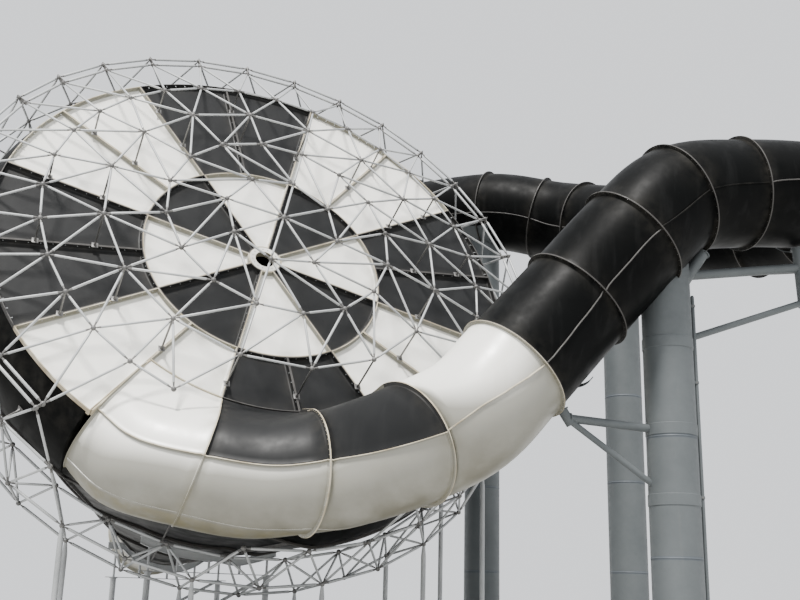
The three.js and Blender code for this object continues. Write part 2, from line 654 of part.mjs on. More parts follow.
// Frames under the back of the funnel
const coneRings = bowlRings(-FIT).slice(3);
const middle = (ring) => ring.reduce((sum, p) => sum.add(p), v3()).divideScalar(ring.length);
coneRings.unshift(coneRings[0].map((p) => p.clone().lerp(middle(coneRings[0]), 0.5)));
const cone = filled(coneRings);
for (const [k, y, low] of [[1, 4300, 2500], [2, 10200, 2400]]) {
  const shapes = [block(0, y, low + 600, 4400, 260, 1200)];
  for (const x of [-1900, 1900]) {
    shapes.push(bar(v3(x, y, 20), v3(x, y, low + 300), 130, 6), block(x, y, 15, 560, 560, 30));
  }
  shapes.push(bar(v3(-1900, y, 300), v3(1900, y, low), 70, 6));
  add(`funnel_trestle_${k}`, less(union(shapes), [cone]), STEEL);
}

// Columns, each cut to the tube that it carries
function column(name, x, y, top, carried, extra = []) {
  const shapes = [bar(v3(x, y, 40), v3(x, y, top), COLUMN, 16), block(x, y, 25, 1900, 1900, 50), ...extra];
  add(name, less(union(shapes), carried), STEEL);
}
const c1 = (z) => v3(9000, -7400, z);
column('column_1', 9000, -7400, 11300, filledTube(8.4, 17), [
  bar(c1(9500), v3(10140, -7670, 11200), 160, 6),
  bar(c1(10400), v3(13200, -8200, 11100), 130, 6), bar(c1(8500), v3(13200, -8200, 10100), 90, 6),
  bar(v3(13200, -8200, 9950), v3(13100, -8200, 12300), 200, 6),
  bar(c1(6200), v3(6200, -6900, 6350), 110, 6), bar(c1(4400), v3(6200, -6900, 6300), 80, 6),
  bar(v3(6250, -6900, 6200), v3(5500, -6800, 7300), 130, 6),
  bar(v3(9663, -7694, 60), v3(9663, -7694, 9900), 50, 6),
  ...[1500, 4500, 7500, 9600].map((z) => block(9600, -7666, z, 240, 130, 80, -23.9)),
]);
column('column_2', 14060, 1620, 15600, filledTube(1.7, 4.5));
column('column_3', 10700, 6050, 16900, filledTube(0, 1.7));

// The stored origin is the middle of the footprint's box, on the ground
group.updateMatrixWorld(true);
const extent = new THREE.Box3().setFromObject(group, true);
const middleOf = (axis) => Math.round((extent.min[axis] + extent.max[axis]) / 2);
group.position.set(-middleOf('x'), -middleOf('y'), 0);

export default group;
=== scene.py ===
"""The looks of a tilted bowl water slide: a roofed fibreglass bowl in a tubular space
frame, with an enclosed raft tube on steel columns. Metres, +Z up."""
from collections import Counter
import math

import bmesh
import bpy
import numpy as np
from mathutils import Matrix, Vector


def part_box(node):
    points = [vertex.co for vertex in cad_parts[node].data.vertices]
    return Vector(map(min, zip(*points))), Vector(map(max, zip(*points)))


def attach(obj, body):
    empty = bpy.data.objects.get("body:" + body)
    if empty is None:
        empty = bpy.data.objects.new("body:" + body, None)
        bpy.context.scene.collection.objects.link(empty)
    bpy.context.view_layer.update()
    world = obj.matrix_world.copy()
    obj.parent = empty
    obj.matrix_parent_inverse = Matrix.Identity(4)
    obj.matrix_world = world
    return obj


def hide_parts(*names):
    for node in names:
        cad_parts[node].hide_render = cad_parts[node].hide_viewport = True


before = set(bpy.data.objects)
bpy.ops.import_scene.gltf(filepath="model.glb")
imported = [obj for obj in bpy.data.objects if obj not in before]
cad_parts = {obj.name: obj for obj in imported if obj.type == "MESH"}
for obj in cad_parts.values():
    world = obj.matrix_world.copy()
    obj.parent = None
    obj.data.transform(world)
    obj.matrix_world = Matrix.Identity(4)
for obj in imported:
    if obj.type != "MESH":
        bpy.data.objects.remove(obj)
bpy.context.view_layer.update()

# Driving dimensions, the same as the solids'. Angles are in degrees, but for TILT.
RIM = 9.0  # radius of the ring of rim nodes
DISC_Z = 11.78  # height of the disc's centre
TILT = math.radians(25.74)  # how far the disc leans back
TUBE = 1.53  # outer radius of the raft tube
SKIN = 0.07  # wall of a shell
RIB = 0.15  # height of the flanges on the roof
SEAM = 6.0  # angle round the tube where the trough meets the roof
GAP = 0.0003  # half the joint between two shells
START, SECTOR = 28.125, 45.0  # side of the first roof panel, and angle of one panel
PANEL_N = -0.038 * RIM  # level of the panels, along the disc's normal
HUB_R = 0.055 * RIM
INNER_R = 0.412 * RIM  # joint of the inner and outer panels
VALLEY_R = 0.62 * RIM  # where the roof over the trough meets the flat panels
SEAM_R = 0.885 * RIM  # outer edge of the flat panels
WALL_R = 0.945 * RIM  # the bowl's rim wall
OUTLET_Y, OUTLET_Z, OUTLET_R, OUTLET_LONG = 11.0, 4.52, 1.6, 2.5
OUTLET_FALL = 0.09  # slope of the outlet
COLUMN = 0.655  # outer radius of a column

UP = np.array([0.0, 0.0, 1.0])
ACROSS = np.array([1.0, 0.0, 0.0])
NORMAL = np.array([0.0, -math.cos(TILT), math.sin(TILT)])
RISE = np.array([0.0, math.sin(TILT), math.cos(TILT)])
CENTRE = np.array([0.0, 0.0, DISC_Z])

# Everything is laid out round the axis below the disc's centre, then moved by SHIFT
hub_low, hub_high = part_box("roof_hub_ring")
SHIFT = (np.array(hub_low) + np.array(hub_high)) / 2 - CENTRE - NORMAL * (PANEL_N + (RIB - SKIN) / 2)

# The photograph's camera, from the same axis
CAMERA = np.array([-8.8107, -29.9164, 1.6])
CAMERA_RIGHT = np.array([0.91110, -0.41144, 0.02465])
CAMERA_LOOK = np.array([0.38941, 0.87885, 0.27565])
LENS = 48.303


def unit(v):
    v = np.asarray(v, float)
    return v / np.linalg.norm(v, axis=-1, keepdims=True)


def polar(r, deg, n):
    """Points in the disc's own frame: radius, angle, height along the normal."""
    r, a, n = np.broadcast_arrays(np.asarray(r, float), np.radians(deg), np.asarray(n, float))
    return (CENTRE + (r * np.cos(a))[..., None] * ACROSS + (r * np.sin(a))[..., None] * RISE
            + n[..., None] * NORMAL)


def angle_of(p):
    d = np.asarray(p) - CENTRE
    return math.degrees(math.atan2(d @ RISE, d[0])) % 360


# The raft tube's line, from the open start flange to the end of the trough
LINE = np.array([
    (9.0, 8.2, 17.2), (11.1, 5.6, 17.02), (12.9, 3.9, 16.38), (14.15, 1.4, 15.55),
    (15.0, -0.2, 15.05), (15.75, -1.9, 14.6), (16.35, -3.7, 14.2), (16.55, -5.5, 13.85),
    (16.0, -7.15, 13.6), (14.7, -8.2, 13.42), (13.1, -8.2, 13.28), (11.43, -7.79, 13.15),
    (9.36, -7.58, 12.63), (7.96, -7.41, 11.31), (6.52, -6.83, 9.56), (4.67, -6.69, 7.5),
    (3.46, -6.56, 6.21), (2.2, -5.84, 5.48), (1.12, -4.83, 5.04), (0.28, -3.86, 4.85),
    (-0.83, -3.24, 4.69), (-2.3, -2.6, 4.9), (-3.75, -1.75, 5.33),
    polar(0.78 * RIM, 231, -0.19 * RIM)])
JOINTS = [0, 0.9, 1.7, 2.4, 3.2, 4.5, 5.8, 7.1, 8.4, 9.7, 11, 12, 13, 14, 15, 17]
TROUGH = [17, 19, 21, 23]
BOLTED_JOINT = 19  # the one joint whose ring flange stands proud on the trough
END = len(LINE) - 1
SPAN = 1.5  # about the distance between two points of the line

# From joint 15 on the rings turn square to the disc, with these headings at the trough's joints
LAST_FREE = 15
HEADINGS = [27.5, 2.0, -19.3, -39.0]


def curve(i):
    """Point and direction on the centripetal spline through LINE."""
    k = min(int(i), END - 1)
    w = i - k
    p1, p2 = LINE[k], LINE[k + 1]
    p0 = LINE[k - 1] if k else 2 * p1 - p2
    p3 = LINE[k + 2] if k + 2 <= END else 2 * p2 - p1
    d0, d1, d2 = (math.sqrt(np.linalg.norm(b - a)) for a, b in ((p0, p1), (p1, p2), (p2, p3)))
    t1 = ((p1 - p0) / d0 - (p2 - p0) / (d0 + d1) + (p2 - p1) / d1) * d1
    t2 = ((p2 - p1) / d1 - (p3 - p1) / (d1 + d2) + (p3 - p2) / d2) * d1
    c2 = -3 * p1 + 3 * p2 - 2 * t1 - t2
    c3 = 2 * p1 - 2 * p2 + t1 + t2
    return p1 + w * (t1 + w * (c2 + w * c3)), unit(t1 + w * (2 * c2 + w * 3 * c3))


class Station:
    """A place along the tube: its centre, its direction, and its front and up."""

    def __init__(self, i, ahead=0.0):
        point, self.along = curve(i)
        self.i = i + ahead / SPAN
        if i > LAST_FREE:
            turn = math.radians(np.interp(i, TROUGH, HEADINGS))
            level = -math.cos(turn) * ACROSS - math.sin(turn) * RISE
            share = min(1, (i - LAST_FREE) / (TROUGH[0] - LAST_FREE))
            self.along = unit(self.along + share * (level - self.along))
        self.front = unit(np.cross(UP, self.along))
        self.up = unit(np.cross(self.along, self.front))
        self.point = point + ahead * self.along

    def out(self, deg):
        a = np.radians(deg)
        return np.cos(a)[..., None] * self.front + np.sin(a)[..., None] * self.up

    def ring(self, radius, deg):
        deg = np.asarray(deg, float)
        return self.point + np.broadcast_to(radius, deg.shape)[..., None] * self.out(deg)


def stretch(a, b, step):
    """Spline places between a and b, about a step apart, with both ends."""
    many = 24 * max(1, math.ceil(b - a))
    places = np.linspace(a, b, many + 1)
    spots = np.array([curve(i)[0] for i in places])
    gone = np.concatenate([[0], np.cumsum(np.linalg.norm(np.diff(spots, axis=0), axis=1))])
    count = max(3, round(gone[-1] / step))
    return np.interp(np.linspace(0, gone[-1], count + 1), gone, places)


# Points of the whole line, and of the part of it that is near the frame
SPINE = np.array([curve(i)[0] for i in np.linspace(0, END, 600)])
FRAME_SPINE = np.array([curve(i)[0] for i in np.linspace(10, END, 140)])


def meets_tube(a, b, radius):
    """The first point from a towards b that lies this near the tube's centre line."""
    a, b = np.asarray(a, float), np.asarray(b, float)
    steps = a + np.linspace(0, 1, 800)[:, None] * (b - a)
    near = np.linalg.norm(steps[:, None] - SPINE[None], axis=2).min(axis=1) < radius
    return steps[np.argmax(near)] if near.any() else b


# Mesh building

def grid(rows, cols, wrap_rows=False, wrap_cols=False):
    """Quads between the points of a grid that is stored row by row."""
    i, j = np.meshgrid(np.arange(rows - (not wrap_rows)), np.arange(cols - (not wrap_cols)),
                       indexing="ij")
    k, m = (i + 1) % rows, (j + 1) % cols
    return np.stack([i * cols + j, i * cols + m, k * cols + m, k * cols + j], -1).reshape(-1, 4)


SHARP = math.radians(38)  # a steeper edge than this is shaded as an edge


class Form:
    """The points and faces of one piece. Each face has a look, each point a value for grime, which on the
    trough's lower side also carries painted shade.
    """

    def __init__(self):
        self.points, self.stains, self.faces, self.looks = [], [], [], []
        self.count = 0

    def put(self, points, stain=0.0):
        points = np.asarray(points, float).reshape(-1, 3)
        self.points.append(points)
        self.stains.append(np.broadcast_to(np.ravel(stain), len(points)))
        first = self.count
        self.count += len(points)
        return first

    def fill(self, faces, look):
        self.faces += np.asarray(faces).tolist()
        self.looks.append(np.broadcast_to(np.ravel(look), len(faces)))

    def block(self, rows, look, stain=0.0):
        """A solid from rows of points: each row runs round it, and both ends are flat."""
        rows = np.asarray(rows, float)
        first = self.put(rows, stain)
        end = np.arange(rows.shape[1])
        self.fill(grid(*rows.shape[:2], False, True) + first, look)
        self.fill([end[::-1] + first, end + (len(rows) - 1) * len(end) + first], look)

    def piece(self, node, kind, slot, looks):
        """Makes the piece, in the place of its node."""
        name = f"{node}_{kind}"
        mesh = bpy.data.meshes.new(name)
        mesh.from_pydata((np.concatenate(self.points) + SHIFT).tolist(), [], self.faces)
        for look in looks:
            mesh.materials.append(look)
        mesh.polygons.foreach_set("material_index", np.concatenate(self.looks).astype(np.int32))
        stain = mesh.attributes.new("stain", "FLOAT", "POINT")
        stain.data.foreach_set("value", np.concatenate(self.stains).astype(np.float32))
        work = bmesh.new()
        work.from_mesh(mesh)
        bmesh.ops.recalc_face_normals(work, faces=work.faces)
        work.to_mesh(mesh)
        work.free()
        mesh.shade_smooth()
        mesh.set_sharp_from_angle(angle=SHARP)
        thing = bpy.data.objects.new(name, mesh)
        bpy.context.scene.collection.objects.link(thing)
        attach(thing, "root")
        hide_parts(node)


def loft(form, rings, look, stain):
    """A closed ring-shaped body: rows and columns both run round."""
    rows, cols = rings.shape[:2]
    look = np.broadcast_to(np.asarray(look), rows)
    first = form.put(rings, np.repeat(np.broadcast_to(stain, rows), cols))
    form.fill(grid(rows, cols, True, True) + first, np.repeat(look, cols))


def shell(form, outer, inner, look, stain, wrap=False):
    """Two skins of one grid, closed along their edges. With wrap the rows run round."""
    rows, cols = outer.shape[:2]
    skin = grid(rows, cols, False, wrap)
    look = np.broadcast_to(np.asarray(look), (rows - 1, cols - (not wrap)))
    low = form.put(outer, stain)
    high = form.put(inner, stain)
    form.fill(skin + low, look)
    form.fill(skin + high, look)
    place = np.arange(rows * cols).reshape(rows, cols)
    edges = [(place[0], look[0]), (place[-1], look[-1])]
    if not wrap:
        edges += [(place[:, 0], look[:, 0]), (place[:, -1], look[:, -1])]
    for line, colour in edges:
        after = np.roll(line, -1)
        if not (wrap and len(line) == cols):
            line, after = line[:-1], after[:-1]
        form.fill(np.stack([line + low, after + low, after + high, line + high], 1), colour[:len(line)])


def turned(form, starts, ends, profile, sides, look):
    """Turned solids, one along each line: rows of radius, distance, share of the length."""
    starts, ends = np.atleast_2d(starts).astype(float), np.atleast_2d(ends).astype(float)
    length = np.linalg.norm(ends - starts, axis=1)
    axis = (ends - starts) / length[:, None]
    aid = np.where(np.abs(axis[:, 2:]) > 0.9, ACROSS, UP)
    side = unit(np.cross(axis, aid))
    other = np.cross(axis, side)
    turn = (np.arange(sides) + 0.5) * 2 * math.pi / sides
    circle = (side[:, None] * np.cos(turn)[:, None] + other[:, None] * np.sin(turn)[:, None])
    radius, offset, share = np.array(profile, float).T
    along = offset + share * length[:, None]
    points = (starts[:, None, None] + axis[:, None, None] * along[:, :, None, None]
              + circle[:, None] * radius[:, None, None])
    rows = len(profile)
    first = form.put(points)
    base = first + np.arange(len(starts))[:, None, None] * rows * sides
    form.fill((grid(rows, sides, False, True) + base).reshape(-1, 4), look)
    cap = np.arange(sides)
    form.fill((cap[::-1] + base).reshape(-1, sides), look)
    form.fill((cap + (rows - 1) * sides + base).reshape(-1, sides), look)


def rod(form, starts, ends, radius, sides, look):
    turned(form, starts, ends, [(radius, 0, 0), (radius, 0, 1)], sides, look)


def balls(form, centres, radius, look):
    """Round nodes, with a small flat at the top and bottom."""
    lift = np.linspace(-0.46 * math.pi, 0.46 * math.pi, 7)
    profile = [(radius * math.cos(a), radius * (1 + math.sin(a)), 0) for a in lift]
    centres = np.atleast_2d(centres)
    turned(form, centres - radius * UP, centres + radius * UP, profile, 12, look)


def slab(form, centre, ax, ay, az, cut, look, stain=0.0):
    """A plate or block with its edges cut off. ax, ay and az are half its sides."""
    centre, ax, ay, az = (np.asarray(v, float) for v in (centre, ax, ay, az))
    lx, ly, lz = (np.linalg.norm(v) for v in (ax, ay, az))
    rows = []
    for high, inset in ((-1, cut), (cut / lz - 1, 0), (1 - cut / lz, 0), (1, cut)):
        x, y = lx - inset, ly - inset
        corners = [(x - cut, y), (cut - x, y), (-x, y - cut), (-x, cut - y), (cut - x, -y),
                   (x - cut, -y), (x, cut - y), (x, y - cut)]
        rows.append([centre + ax * (u / lx) + ay * (v / ly) + az * high for u, v in corners])
    form.block(rows, look, stain)


def rail(form, path, out, wide, high, look, stain, deep=0.01):
    """A standing flange along a line on a surface, with its top edges cut off."""
    side = unit(np.cross(np.gradient(path, axis=0), out))
    h, c = wide / 2, min(0.25 * wide, 0.01)
    section = [(-h, -deep), (-h, high - c), (c - h, high), (h - c, high), (h, high - c), (h, -deep)]
    form.block(np.stack([path + u * side + v * out for u, v in section], 1), look, stain)


def bolts(form, centres, along, reach, look, radius=0.014):
    """Hexagon bolts that go right through a flange."""
    centres, along = np.atleast_2d(centres), np.atleast_2d(along)
    rod(form, centres - along * reach, centres + along * reach, radius, 6, look)


# Materials

class Look:
    """A procedural material, written as nodes."""

    def __init__(self, name):
        self.material = bpy.data.materials.new(name)
        self.material.use_nodes = True
        self.tree = self.material.node_tree
        self.shader = self.tree.nodes["Principled BSDF"]
        self.place = self.node("TexCoord", {}).outputs["Object"]

    def node(self, kind, inputs, **settings):
        node = self.tree.nodes.new(f"ShaderNode{kind}")
        for key, value in settings.items():
            setattr(node, key, value)
        for key, source in inputs.items():
            self.feed(node.inputs[key], source)
        return node

    def feed(self, socket, source):
        if isinstance(source, (int, float, tuple)):
            socket.default_value = source
        else:
            self.tree.links.new(source, socket)

    def noise(self, scale, detail, upright=1.0):
        """Noise, drawn out along Z where upright is under 1."""
        place = self.node("Mapping", {"Vector": self.place, "Scale": (1, 1, upright)})
        return self.node("TexNoise", {
            "Vector": place.outputs[0], "Scale": scale, "Detail": detail,
            "Roughness": 0.55}).outputs["Fac"]

    def remap(self, source, low, high, to_low=0.0, to_high=1.0):
        return self.node("MapRange", {
            "Value": source, "From Min": low, "From Max": high, "To Min": to_low,
            "To Max": to_high}).outputs["Result"]

    def patches(self, scale, detail, low, high, upright=1.0):
        """Noise spread out so that it is 0 at one of its levels and 1 at another."""
        return self.remap(self.noise(scale, detail, upright), low, high)

    def uneven(self, scale, detail, low, high):
        """A value that wanders from low to high."""
        return self.remap(self.noise(scale, detail), 0.3, 0.7, low, high)

    def times(self, a, b):
        return self.node("Math", {0: a, 1: b}, operation="MULTIPLY").outputs[0]

    def mix(self, factor, a, b):
        """Inputs 6 and 7 and output 2 are the node's sockets for colours."""
        return self.node("Mix", {0: factor, 6: a, 7: b}, data_type="RGBA").outputs[2]

    def over(self, tone, cover, strength, colour):
        """A colour laid over a tone."""
        return self.mix(self.times(cover, strength), tone, colour)

    # The per-point attribute for grime, which also carries painted shade below the trough's crease.
    def stain_and_shade_mask(self):
        return self.node("Attribute", {}, attribute_name="stain").outputs["Fac"]

    def facing_down(self, start, full):
        """How far the surface faces the ground, from 0 at start to 1 at full."""
        normal = self.node("NewGeometry", {}).outputs["Normal"]
        return self.remap(self.node("SeparateXYZ", {0: normal}).outputs["Z"], -start, -full)

    def bump(self, height, strength, distance):
        bump = self.node("Bump", {"Height": height, "Strength": strength, "Distance": distance})
        self.feed(self.shader.inputs["Normal"], bump.outputs[0])

    def finish(self, colour, roughness, metallic=0.0, specular=0.5):
        for key, source in (("Specular IOR Level", specular), ("Base Color", colour),
                            ("Roughness", roughness), ("Metallic", metallic)):
            self.feed(self.shader.inputs[key], source)
        return self.material


CREAM, OLD_CREAM = (0.90, 0.89, 0.84, 1), (0.84, 0.83, 0.77, 1)
RUN_DOWN = (0.5, 0.46, 0.36, 1)
# Grey of painted shade, for faces turned away from the sun.
SHADED = (0.22, 0.214, 0.18, 1)
# Dark brown for faces that look down: grime together with painted shade.
BROWN_STAIN_AND_SHADE = (0.09, 0.079, 0.045, 1)
# Brown of grime, also used as painted shade below the trough's crease.
GRIME_AND_SHADE = (0.17, 0.15, 0.085, 1)
DUST, WASHED = (0.06, 0.055, 0.046, 1), (0.05, 0.05, 0.05, 1)
RAIN_MARK = (0.2, 0.19, 0.17, 1)


def white_gel_coat():
    """Cream gel coat, with painted shade where it is turned from the sun, and brown grime and painted
    shade below.
    """
    look = Look("white_gel_coat")
    tone = look.mix(look.noise(0.5, 3), CREAM, OLD_CREAM)
    streak = look.times(look.patches(3.2, 6, 0.5, 0.75, 0.12), look.patches(0.35, 2, 0.4, 0.65))
    tone = look.over(tone, streak, 0.25, RUN_DOWN)
    # Painted shade: greyer on faces that turn away from the sun and down.
    tone = look.over(tone, look.facing_down(-0.24, 0.1), 0.9, SHADED)
    # Faces that look down get dark brown patches: partly real brown grime, partly painted shade.
    under = look.times(look.facing_down(0.15, 0.9), look.patches(0.9, 5, 0.2, 0.6))
    tone = look.over(tone, under, 0.75, BROWN_STAIN_AND_SHADE)
    # Grime near joints and flanges, and painted shade below the trough's crease.
    tone = look.over(tone, look.times(look.stain_and_shade_mask(), look.patches(2.4, 7, 0.3, 0.7)), 0.45, GRIME_AND_SHADE)
    look.bump(look.noise(1.3, 3), 0.2, 0.02)
    return look.finish(tone, look.uneven(1.7, 5, 0.28, 0.45))


def black_gel_coat(name, light, dark, specular):
    look = Look(name)
    tone = look.mix(look.noise(0.8, 4), dark, light)
    tone = look.over(tone, look.times(look.stain_and_shade_mask(), look.patches(3.0, 7, 0.35, 0.75)), 0.35, DUST)
    tone = look.over(tone, look.patches(3.5, 6, 0.52, 0.8, 0.1), 0.12, WASHED)
    look.bump(look.noise(1.1, 3), 0.3, 0.02)
    return look.finish(tone, look.uneven(1.9, 5, 0.38, 0.54), 0.0, specular)


def flange_edge(name, fresh, dirty):
    look = Look(name)
    return look.finish(look.mix(look.patches(1.6, 4, 0.35, 0.65), fresh, dirty),
                       look.uneven(6.0, 4, 0.5, 0.75))


def steel(name, light, dark, metallic, smooth=0.4):
    """Zinc coating with a faint spangle and rain marks."""
    look = Look(name)
    spangle = look.node("TexVoronoi", {"Vector": look.place, "Scale": 26.0}).outputs["Color"]
    tone = look.mix(look.patches(1.4, 5, 0.3, 0.7), light, dark)
    tone = look.over(tone, look.node("SeparateColor", {0: spangle}).outputs[0], 0.15, dark)
    tone = look.over(tone, look.patches(5.0, 6, 0.6, 0.85, 0.08), 0.12, RAIN_MARK)
    look.bump(look.noise(24.0, 3), 0.12, 0.002)
    return look.finish(tone, look.uneven(7.0, 5, smooth, smooth + 0.2), metallic)


WHITE = white_gel_coat()
BLACK = black_gel_coat("black_gel_coat", (0.016, 0.0165, 0.017, 1), (0.009, 0.0095, 0.010, 1), 0.14)
TUBE_BLACK = black_gel_coat("deep_black_gel_coat", (0.003, 0.0033, 0.0033, 1),
                            (0.001, 0.0012, 0.0012, 1), 0.05)
PALE_EDGE = flange_edge("pale_flange_edge", (0.62, 0.57, 0.45, 1), (0.36, 0.30, 0.20, 1))
DARK_EDGE = flange_edge("dark_flange_edge", (0.060, 0.056, 0.052, 1), (0.038, 0.036, 0.034, 1))
STEEL = steel("galvanised_steel", (0.44, 0.45, 0.45, 1), (0.33, 0.34, 0.345, 1), 0.2)
# The columns' galvanised steel, darkened to a deep grey as painted shade.
COLUMN_STEEL_PAINTED_SHADE = steel("column_steel_painted_shade", (0.095, 0.106, 0.110, 1), (0.078, 0.088, 0.092, 1), 0.1, 0.45)
NODE = steel("dark_node_steel", (0.19, 0.185, 0.18, 1), (0.10, 0.098, 0.095, 1), 0.4)
# Weld beads darkened to the columns' painted shade.
WELD_PAINTED_SHADE = steel("weld_band_painted_shade", (0.085, 0.098, 0.11, 1), (0.06, 0.07, 0.08, 1), 0.1, 0.5)
WHITE_LOOKS = [WHITE, PALE_EDGE, STEEL]
BLACK_LOOKS = [BLACK, DARK_EDGE, STEEL]
TUBE_LOOKS = [TUBE_BLACK, DARK_EDGE, DARK_EDGE]
STEEL_LOOKS = [STEEL, NODE, WELD_PAINTED_SHADE]
# The steel pieces' kind, slot and looks
FRAME_STEEL = "tubes", "galvanised_steel", STEEL_LOOKS
TRESTLE_STEEL = "steelwork", "galvanised_steel", STEEL_LOOKS
COLUMN_STEEL = "steelwork", "galvanised_steel", [COLUMN_STEEL_PAINTED_SHADE, NODE, WELD_PAINTED_SHADE]
FACE, EDGE, METAL = 0, 1, 2  # places in a shell's list of looks
BAR, KNOT, BEAD = 0, 1, 2  # places in a steel piece's list

# Flanges: distance from the joint, and height
PANEL_EDGE = np.array([(GAP, RIB - 0.006), (0.006, RIB), (0.026, RIB), (0.032, RIB - 0.006),
                       (0.036, 0.05), (0.046, 0.02), (0.07, 0.004), (0.11, 0.0)])
RING_EDGE = np.array([(GAP, 0.094), (0.005, 0.1), (0.015, 0.1), (0.019, 0.094), (0.023, 0.03),
                      (0.036, 0.008), (0.08, 0.0)])
ROOF_LIP = np.array([(0.0, 0.05), (0.02, 0.05), (0.026, 0.015), (0.05, 0.0)])
TROUGH_LIP = np.array([(0.0, 0.08), (0.022, 0.08), (0.028, 0.03), (0.045, 0.008), (0.075, 0.0)])
BOLT_STEP = 0.33  # distance between two bolts on the roof
BOLT_UP = 0.1  # and their height on the flange
BOLT_REACH = 0.047  # half the length of a bolt
RING_BOLT = 0.062  # height of a bolt on a ring flange


ROUND = np.arange(0, 360, 3.75)  # angles of the points round a tube or ring


# The roof's panels

def coat(white):
    """The slot and the looks of a white or a black shell."""
    return ("white_shell", WHITE_LOOKS) if white else ("black_shell", BLACK_LOOKS)


def least(high):
    """The lowest corner of each cell of a grid."""
    return np.minimum.reduce([high[:-1, :-1], high[1:, :-1], high[:-1, 1:], high[1:, 1:]])


def flanged(form, rows, over):
    """A shell from rows of outer and inner points, heights and values for grime, and in the trough painted
    shade. What is higher than over has the look of a flange's edge."""
    outer, inner, high, stain = (np.array(part) for part in zip(*rows))
    shell(form, outer, inner, np.where(least(high) > over, EDGE, FACE), stain)


def edged(first, middle, last):
    """A row of values with those of the flanges at both ends."""
    return np.concatenate([first, middle, last[::-1]])


def panel(form, a0, a1, r0, r1):
    """A roof panel with flanges standing on its four edges."""
    away, tall = PANEL_EDGE.T
    middle = np.linspace(r0 + away[-1], r1 - away[-1], max(4, round((r1 - r0) / 0.3)) + 1)[1:-1]
    share = np.linspace(0, 1, max(4, round((a1 - a0) / 2.25)) + 1)[1:-1]
    radii = edged(r0 + away, middle, r1 - away)
    angles = []
    for r in radii:
        lean = np.degrees(np.arcsin(away / r))
        low, high = a0 + lean, a1 - lean
        angles.append(edged(low, low[-1] + (high[-1] - low[-1]) * share, high))
    angles = np.array(angles)
    high = np.maximum(edged(tall, 0 * middle, tall)[:, None], edged(tall, 0 * share, tall))
    from_side = np.minimum(angles - a0, a1 - angles) * np.radians(1) * radii[:, None]
    from_end = np.minimum(radii - r0, r1 - radii)[:, None]
    stain = np.clip(1 - np.minimum(from_side, from_end) / 0.45, 0, 1) ** 1.5
    top = polar(radii[:, None], angles, PANEL_N + high)
    under = polar(radii[:, None], angles, PANEL_N - SKIN + 0 * high)
    shell(form, top, under, np.where(least(high) > 0.1, EDGE, FACE), stain)


def roof_bolts(form, r, deg, turn):
    """Bolts through a pair of flanges, turned this far from the way out."""
    way = polar(1.0, deg + turn, 0) - CENTRE
    bolts(form, polar(r, deg, PANEL_N + BOLT_UP), way, BOLT_REACH, METAL)


def joint_bolts(form, deg, r0, r1):
    """Bolts on a radial joint."""
    roof_bolts(form, np.arange(r0 + 0.2, r1 - 0.1, BOLT_STEP), deg, 90)


def arc_bolts(form, radius, a0, a1):
    """Bolts on a joint that runs round the disc."""
    roof_bolts(form, radius, np.arange(a0 + 1.2, a1 - 0.5, math.degrees(BOLT_STEP / radius)), 0)


def foot_angle(station):
    """The roof's foot in the valley, and the angle where it leaves the tube's round. Each
    step along the tube's line is a quarter of a panel round the disc."""
    corner = START + 6 * SECTOR - 0.1 - SECTOR / 4 * (station.i - TROUGH[0])
    foot = polar(VALLEY_R + 0.002, corner, PANEL_N + 0.7 * RIB)
    away = foot - station.point
    u, w = away @ station.up, away @ station.front
    return foot, math.degrees(math.atan2(u, w) - math.acos(min(1, TUBE / math.hypot(u, w))))


def rows_along(a, b):
    """Stations from joint a to joint b with a flange's lines at both ends: station,
    height, distance from the nearer joint."""
    step = 0.22
    rows = [(Station(a, d), h, d) for d, h in RING_EDGE]
    places = stretch(a, b, step)[1:-1]
    for k, i in enumerate(places):
        rows.append((Station(i), 0.0, min(k + 1, len(places) - k) * step))
    return rows + [(Station(b, -d), h, d) for d, h in RING_EDGE[::-1]]


def roof_skin(form, a, b):
    """The roof from the seam up round the tube, then straight to the valley."""
    rows = []
    lips = SEAM + 0.15 + np.degrees(ROOF_LIP[:, 0] / TUBE)
    for station, high, away in rows_along(a, b):
        foot, touch = foot_angle(station)
        out = station.out(np.concatenate([lips, np.linspace(lips[-1], touch, 15)[1:]]))
        base = station.point + TUBE * out
        straight = base[-1] + np.linspace(0, 1, 9)[1:, None] * (foot - base[-1])
        out = np.concatenate([out, np.repeat(out[-1:], 8, axis=0)])
        base = np.concatenate([base, straight])
        rise = np.full(len(base), high)
        rise[:len(lips)] = np.maximum(ROOF_LIP[:, 1], high)
        rise[-2:] *= (0.6, 0.0)
        stain = np.full(len(base), max(0, 1 - away / 0.5))
        rows.append((base + out * rise[:, None], base - out * SKIN, rise, stain))
    flanged(form, rows, 0.06)


OUTER_NAMES = "tr t tl l bl b br r".split()


def inner_roof():
    """The inner panels, by turns black and white from the first one on."""
    for k in range(8):
        a0 = START + SECTOR * k
        form = Form()
        panel(form, a0, a0 + SECTOR, HUB_R, INNER_R)
        joint_bolts(form, a0, HUB_R, INNER_R)
        arc_bolts(form, INNER_R, a0, a0 + SECTOR)
        form.piece(f"roof_inner_{k + 1}", "shell", *coat(k % 2 == 1))


